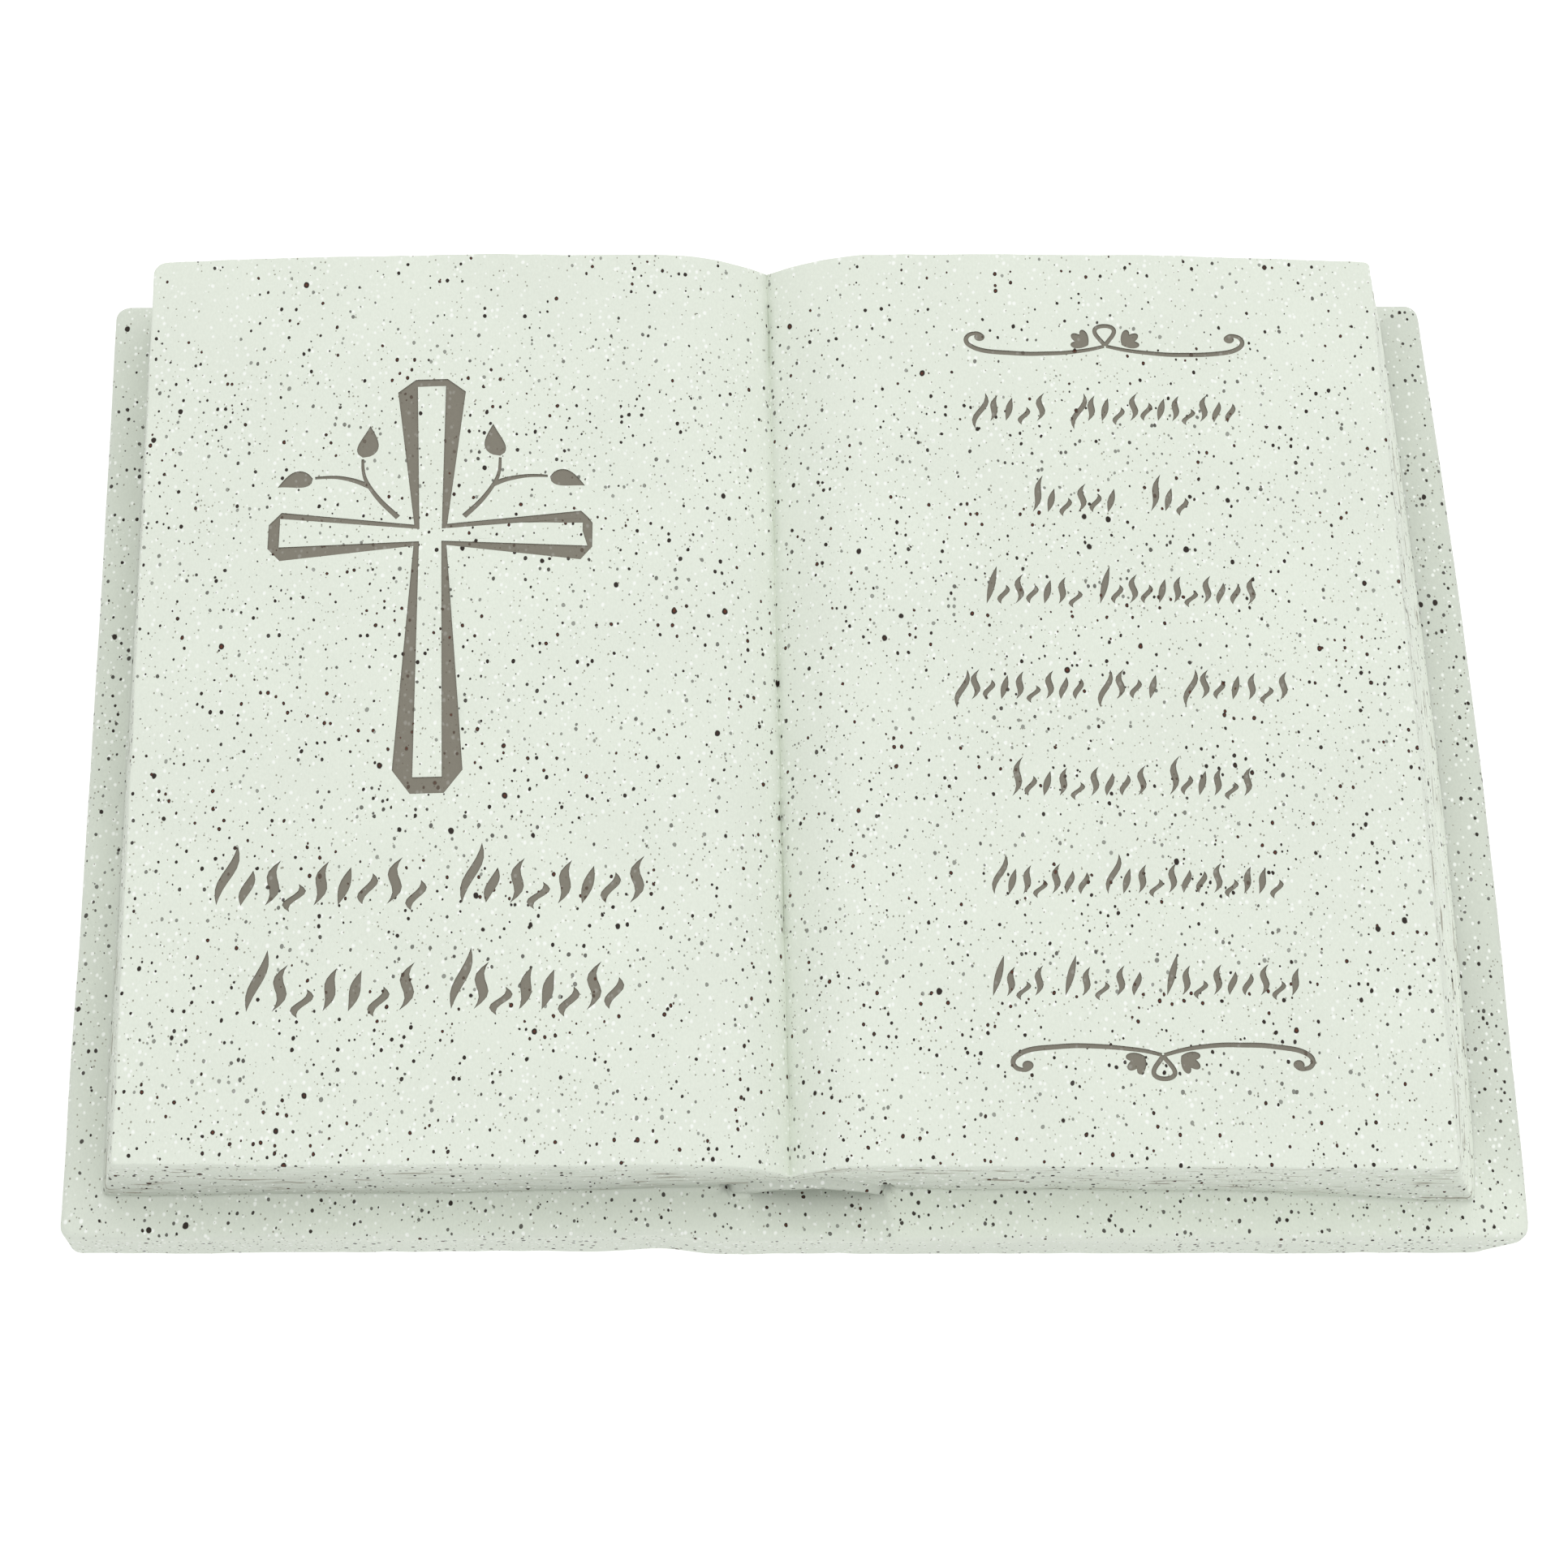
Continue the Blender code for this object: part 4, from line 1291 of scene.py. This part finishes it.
@dataclass
class Tree:
    """Short way to add shader nodes to a tree and to join them."""

    tree: bpy.types.NodeTree
    count: int = 0
    spacing: tuple[int, int] = (190, -60)
    rows: int = 4

    def add(self, kind: str, *values: Any, **settings: Any) -> bpy.types.Node:
        """Adds a node, sets its properties and feeds its inputs.

        Args:
            kind: The node's kind.
            values: What goes into its inputs, in order.
            settings: Its properties.

        Returns:
            The node.
        """
        node = self.tree.nodes.new(kind)
        node.location = (self.count * self.spacing[0], self.count % self.rows * self.spacing[1])
        self.count += 1
        for name, value in settings.items():
            setattr(node, name, value)
        for number, value in enumerate(values):
            self.feed(node.inputs[number], value)
        return node

    def feed(self, target: bpy.types.NodeSocket, value: Any) -> None:
        """Joins a socket to an input, or sets the input's own value.

        Args:
            target: The input.
            value: A socket, or a number or colour.
        """
        if isinstance(value, bpy.types.NodeSocket):
            self.tree.links.new(value, target)
        else:
            target.default_value = value

    def math(self, operation: str, *values: Any) -> bpy.types.NodeSocket:
        """Result of a sum on numbers."""
        return self.add("ShaderNodeMath", *values, operation=operation).outputs[0]

    def vector(self, operation: str, *values: Any) -> bpy.types.NodeSocket:
        """Result of a sum on vectors."""
        return self.add("ShaderNodeVectorMath", *values, operation=operation).outputs[0]

    def range(self, value: Any, low: Any, high: Any, to_low: float = 0.0, to_high: float = 1.0,
              smooth: bool = True) -> bpy.types.NodeSocket:
        """A number carried from one range to another.

        Args:
            value: The number.
            low: Start of its range.
            high: End of its range.
            to_low: What the start becomes.
            to_high: What the end becomes.
            smooth: Whether it eases in and out.

        Returns:
            The new number.
        """
        kind = "SMOOTHSTEP" if smooth else "LINEAR"
        values = (value, low, high, to_low, to_high)
        return self.add("ShaderNodeMapRange", *values, interpolation_type=kind).outputs[0]

    def mix(self, share: Any, one: Any, other: Any) -> bpy.types.NodeSocket:
        """Mix of two colours.

        Args:
            share: Share of the other colour.
            one: A colour.
            other: The other colour.

        Returns:
            The mixed colour.
        """
        node = self.add("ShaderNodeMix", share, data_type="RGBA")
        self.feed(node.inputs[6], one)
        self.feed(node.inputs[7], other)
        return node.outputs[2]

    def noise(self, place: Any, scale: float, detail: float = 2.0) -> bpy.types.NodeSocket:
        """Cloudy noise about one half.

        Args:
            place: Where it is read.
            scale: Clouds to a metre.
            detail: How many finer sets of clouds are added.

        Returns:
            The noise.
        """
        node = self.add("ShaderNodeTexNoise", place)
        self.feed(node.inputs["Scale"], scale)
        self.feed(node.inputs["Detail"], detail)
        return node.outputs["Fac"]


def new_group(name: str, inputs: tuple, outputs: tuple) -> tuple:
    """Makes a shader node group that reads a place and numbers, and puts out numbers.

    Args:
        name: Its name.
        inputs: Names of the numbers that it reads after the place.
        outputs: Names of the numbers that it puts out.

    Returns:
        The group, its tree helper, the sockets of its inputs and those that take its outputs.
    """
    group = bpy.data.node_groups.new(name, "ShaderNodeTree")
    group.interface.new_socket("Place", in_out="INPUT", socket_type="NodeSocketVector")
    for labels, way in ((inputs, "INPUT"), (outputs, "OUTPUT")):
        for label in labels:
            group.interface.new_socket(label, in_out=way, socket_type="NodeSocketFloat")
    tree = Tree(group)
    return group, tree, tree.add("NodeGroupInput").outputs, tree.add("NodeGroupOutput").inputs


@dataclass(frozen=True)
class Speck:
    """A kind of round mark: its cells' size, its reach in cells, the share of cells that have one."""

    cell: float
    radius: float
    share: float
    softness: float


@dataclass(frozen=True)
class Weather:
    """The marks of the casting that stone and paint share: pits, grains, white spots and clouds."""

    big: Speck = Speck(0.0040, 0.13, 0.6, 0.2)
    mid: Speck = Speck(0.00122, 0.27, 0.8, 0.15)
    small: Speck = Speck(0.00072, 0.26, 0.75, 0.45)
    white: Speck = Speck(0.00095, 0.42, 0.72, 0.65)
    smallest: float = 0.45
    core: tuple = (0.3, 0.6)
    flatness: tuple = (1.0, 0.8, 1.0)
    waver_scale: float = 900.0
    waver: tuple = (0.00035, 0.0002)
    fewer_at: tuple = (0.045, 0.068)
    fewest: float = 0.5
    faint_lots: float = 0.5
    faintest: float = 0.6
    rusty_big: float = 0.5
    rusty_mid: float = 0.72
    cloud_scale: float = 45.0
    cloud_range: tuple = (0.25, 0.75)
    cloud_change: float = 0.025
    grit_scale: float = 3200.0
    grit_stretch: tuple = (1.0, 0.6, 1.0)
    grit_range: tuple = (0.3, 0.7)
    grit_change: float = 0.028
    line_scale: float = 130.0
    lines_down: float = 26.0
    faint_line: tuple = (0.52, 0.62, 0.0, 0.12)
    dark_line: tuple = (0.62, 0.68, 0.0, 0.75)
    lines_start: float = 0.04
    relief_scale: float = 1500.0

    def make_specks(self) -> bpy.types.NodeTree:
        """Group of round marks about the points of a cell pattern, in sizes by lot.

        Returns:
            The group, which puts out the marks' mask, that of their smaller cores and a lot for each.
        """
        group, tree, given, taken = new_group(
            "specks", ("Cell", "Radius", "Share", "Softness"), ("Mask", "Core", "Lot"))
        place, cell, radius, share, softness = given[:5]
        cells = tree.add("ShaderNodeTexVoronoi", place, feature="F1", voronoi_dimensions="3D")
        tree.feed(cells.inputs["Scale"], tree.math("DIVIDE", 1.0, cell))
        away = cells.outputs["Distance"]
        lots = tree.add("ShaderNodeSeparateColor", cells.outputs["Color"]).outputs
        there = tree.math("LESS_THAN", lots[0], share)
        reach = tree.math("MULTIPLY", radius, tree.range(lots[1], 0.0, 1.0, self.smallest, 1.0, smooth=False))
        solid = tree.math("MULTIPLY", reach, tree.math("SUBTRACT", 1.0, softness))
        core_start, core_end = (tree.math("MULTIPLY", reach, part) for part in self.core)
        for number, (start, end) in enumerate(((solid, reach), (core_start, core_end))):
            mark = tree.range(away, start, end, 1.0, 0.0)
            tree.feed(taken[number], tree.math("MULTIPLY", mark, there))
        tree.feed(taken[2], lots[2])
        return group

    def make_marks(self) -> bpy.types.NodeTree:
        """Group of all the marks.

        It reads the place, the share down the page wall, the painted shade there and how much that darkens.

        Returns:
            The group, which puts out masks of pits, their rusty cores, grains, white spots and page
            lines, a tone about one that holds the painted shade, and a fine relief.
        """
        group, tree, given, taken = new_group(
            "casting marks", ("Down", "Painted shade", "Shade strength"),
            ("Pit", "Rust", "Grain", "White", "Line", "Tone and shade", "Relief"))
        place, down, painted_shade, shade_strength = given[:4]
        x, y = tree.add("ShaderNodeSeparateXYZ", place).outputs[:2]
        waver = tree.noise(place, self.waver_scale)
        shift = tree.add("ShaderNodeCombineXYZ", *(tree.math("MULTIPLY", waver, size) for size in self.waver))
        marked = tree.vector("ADD", tree.vector("MULTIPLY", place, self.flatness), shift.outputs[0])
        fewer = tree.range(y, *self.fewer_at, 1.0, self.fewest)
        specks = self.make_specks()

        def scatter(speck: Speck, share: Any) -> bpy.types.bpy_prop_collection:
            """Marks of one kind in a share of the cells."""
            values = (marked, speck.cell, speck.radius, share, speck.softness)
            return tree.add("ShaderNodeGroup", *values, node_tree=specks).outputs

        big, mid, small = (scatter(speck, tree.math("MULTIPLY", fewer, speck.share))
                           for speck in (self.big, self.mid, self.small))
        faint = tree.range(mid[2], 0.0, self.faint_lots, self.faintest, 1.0)
        pit = tree.math("MAXIMUM", big[0], tree.math("MULTIPLY", mid[0], faint))
        rusty = (tree.math("MULTIPLY", marks[1], tree.math("GREATER_THAN", marks[2], lot))
                 for marks, lot in ((big, self.rusty_big), (mid, self.rusty_mid)))
        cloud = tree.range(tree.noise(place, self.cloud_scale, 3.0), *self.cloud_range,
                           1 - self.cloud_change, 1 + self.cloud_change, smooth=False)
        grit_noise = tree.noise(tree.vector("MULTIPLY", place, self.grit_stretch), self.grit_scale)
        grit = tree.range(grit_noise, *self.grit_range,
                          1 - self.grit_change, 1 + self.grit_change, smooth=False)
        # Painted shade: one less the painted shade times how much it darkens, which goes into the tone.
        unshaded = tree.math("SUBTRACT", 1.0, tree.math("MULTIPLY", painted_shade, shade_strength))
        along = (tree.math("MULTIPLY", value, scale) for value, scale in (
            (x, self.line_scale), (y, self.line_scale), (down, self.lines_down)))
        drawn_out = tree.noise(tree.add("ShaderNodeCombineXYZ", *along).outputs[0], 1.0, 3.0)
        faint_lines, dark_lines = (
            tree.range(drawn_out, *part) for part in (self.faint_line, self.dark_line))
        lines = tree.math("ADD", faint_lines, dark_lines)
        results = (pit, tree.math("MAXIMUM", *rusty), small[0], scatter(self.white, self.white.share)[0],
                   tree.math("MULTIPLY", lines, tree.range(down, 0.0, self.lines_start)),
                   tree.math("MULTIPLY", tree.math("MULTIPLY", cloud, grit), unshaded),
                   tree.noise(place, self.relief_scale))
        for target, result in zip(taken, results):
            tree.feed(target, result)
        return group


@dataclass(frozen=True)
class Finish:
    """A finish of the casting: its colour and how the marks show in it."""

    name: str
    colour: tuple
    roughness: float
    pit_colour: tuple = (0.022, 0.014, 0.010, 1)
    rust_colour: tuple = (0.115, 0.026, 0.010, 1)
    grain_colour: tuple = (0.20, 0.185, 0.135, 1)
    grain_share: float = 0.8
    white_colour: tuple = (0.95, 0.97, 0.93, 1)
    white_share: float = 0.85
    line_colour: tuple = (0.30, 0.28, 0.22, 1)
    # How much the painted shade darkens this finish.
    shade_strength: float = 0.17
    bump: float = 0.25
    bump_height: float = 0.00012
    sheen: float = 0.35

    def make(self, marks_group: bpy.types.NodeTree) -> bpy.types.Material:
        """Makes the material: the colour in its tone, which holds the painted shade, then the marks over it,
        one after another.

        Args:
            marks_group: Group of the casting's marks.

        Returns:
            The material.
        """
        material = bpy.data.materials.new(self.name)
        material.diffuse_color = self.colour
        material.use_nodes = True
        material.node_tree.nodes.clear()
        tree = Tree(material.node_tree)
        place = tree.add("ShaderNodeTexCoord").outputs["Object"]
        # Reads the share down the page wall and the painted shade.
        down, painted_shade = (tree.add("ShaderNodeAttribute", attribute_name=name).outputs["Fac"]
                       for name in ("page_line", "painted_shade"))
        marks = tree.add(
            "ShaderNodeGroup", place, down, painted_shade, self.shade_strength, node_tree=marks_group).outputs
        # The tone scales the colour, and darkens it by the painted shade.
        toned = tree.add("ShaderNodeVectorMath", self.colour[:3], operation="SCALE")
        tree.feed(toned.inputs["Scale"], marks["Tone and shade"])
        colour = toned.outputs[0]
        for name, share, over in (
                ("White", self.white_share, self.white_colour), ("Line", 1.0, self.line_colour),
                ("Grain", self.grain_share, self.grain_colour), ("Pit", 1.0, self.pit_colour),
                ("Rust", 1.0, self.rust_colour)):
            colour = tree.mix(tree.math("MULTIPLY", marks[name], share), colour, over)
        bump = tree.add("ShaderNodeBump")
        shader = tree.add("ShaderNodeBsdfPrincipled")
        output = tree.add("ShaderNodeOutputMaterial")
        for node, name, value in (
                (bump, "Strength", self.bump), (bump, "Distance", self.bump_height),
                (bump, "Height", marks["Relief"]), (shader, "Base Color", colour),
                (shader, "Normal", bump.outputs[0]), (shader, "Roughness", self.roughness),
                (shader, "Specular IOR Level", self.sheen), (output, "Surface", shader.outputs[0])):
            tree.feed(node.inputs[name], value)
        return material


STONE = Finish("cast stone", (0.76, 0.81, 0.716, 1), 0.7)
PAINT = Finish("carving paint", (0.220, 0.205, 0.165, 1), 0.75, pit_colour=(0.10, 0.075, 0.055, 1),
               grain_colour=(0.15, 0.13, 0.10, 1), white_share=0.12, shade_strength=0.0)


@dataclass(frozen=True)
class PhotoCamera:
    """The photograph's view: its turn about the target, its distance and its lens."""

    azimuth: float = -7.13
    elevation: float = 67.57
    roll: float = 6.38
    target: tuple = (-0.00112, -0.0066, 0.0090)
    distance: float = 0.4795
    focal_pixels: float = 3800.0
    picture_pixels: float = 1932.0
    sensor: float = 36.0
    near_limit: float = 0.01

    def place(self) -> None:
        """Adds the camera and makes it the scene's."""
        turn, lift, roll = (math.radians(value) for value in (self.azimuth, self.elevation, self.roll))
        back = Vector((math.sin(turn) * math.cos(lift), -math.cos(turn) * math.cos(lift), math.sin(lift)))
        right = (-back).cross(Vector((0, 0, 1))).normalized()
        up = right.cross(-back)
        own_right = right * math.cos(roll) + up * math.sin(roll)
        own_up = up * math.cos(roll) - right * math.sin(roll)
        lens = bpy.data.cameras.new("photo camera")
        lens.sensor_width = self.sensor
        lens.lens = self.sensor * self.focal_pixels / self.picture_pixels
        lens.clip_start = self.near_limit
        camera = bpy.data.objects.new("photo camera", lens)
        pose = Matrix((own_right, own_up, back)).transposed().to_4x4()
        pose.translation = Vector(self.target) + back * self.distance
        camera.matrix_world = pose
        bpy.context.collection.objects.link(camera)
        bpy.context.scene.camera = camera


@dataclass(frozen=True)
class Studio:
    """Pale floor and soft light from above."""

    floor_size: float = 6.0
    floor_level: float = -0.0002
    floor_colour: tuple = (0.6, 0.6, 0.6, 1)
    floor_roughness: float = 0.9
    floor_glow: float = 0.58
    white: tuple = (1, 1, 1, 1)
    sky: float = 0.41
    lamp_power: float = 25.5
    lamp_size: float = 3.2
    lamp_place: tuple = (0.10, 0.08, 1.32)

    def build(self) -> None:
        """Adds the floor, the lamp and the sky."""
        half = self.floor_size / 2
        mesh = bpy.data.meshes.new("floor")
        corners = [(x * half, y * half, self.floor_level) for x, y in ((-1, -1), (1, -1), (1, 1), (-1, 1))]
        mesh.from_pydata(corners, [], [(0, 1, 2, 3)])
        material = bpy.data.materials.new("pale floor")
        material.use_nodes = True
        shader = material.node_tree.nodes["Principled BSDF"]
        shader.inputs["Base Color"].default_value = self.floor_colour
        shader.inputs["Roughness"].default_value = self.floor_roughness
        shader.inputs["Emission Color"].default_value = self.white
        shader.inputs["Emission Strength"].default_value = self.floor_glow
        mesh.materials.append(material)
        floor = bpy.data.objects.new("floor", mesh)
        bpy.context.collection.objects.link(floor)
        lamp = bpy.data.lights.new("soft lamp", "AREA")
        lamp.shape = "DISK"
        lamp.size = self.lamp_size
        lamp.energy = self.lamp_power
        holder = bpy.data.objects.new("soft lamp", lamp)
        holder.location = self.lamp_place
        holder.rotation_euler = (-Vector(self.lamp_place)).to_track_quat("-Z", "Y").to_euler()
        bpy.context.collection.objects.link(holder)
        world = bpy.data.worlds.new("studio")
        world.use_nodes = True
        background = world.node_tree.nodes["Background"]
        background.inputs["Color"].default_value = self.white
        background.inputs["Strength"].default_value = self.sky
        bpy.context.scene.world = world
        bpy.context.scene.view_settings.view_transform = "Standard"


def main() -> None:
    """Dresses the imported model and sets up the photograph's view."""
    logging.basicConfig(level=logging.INFO)
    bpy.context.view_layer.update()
    marks = Weather().make_marks()
    book = Book().build(STONE.make(marks), PAINT.make(marks))
    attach(book, "root")
    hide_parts(NODE)
    Studio().build()
    PhotoCamera().place()


if __name__ == "__main__":
    main()
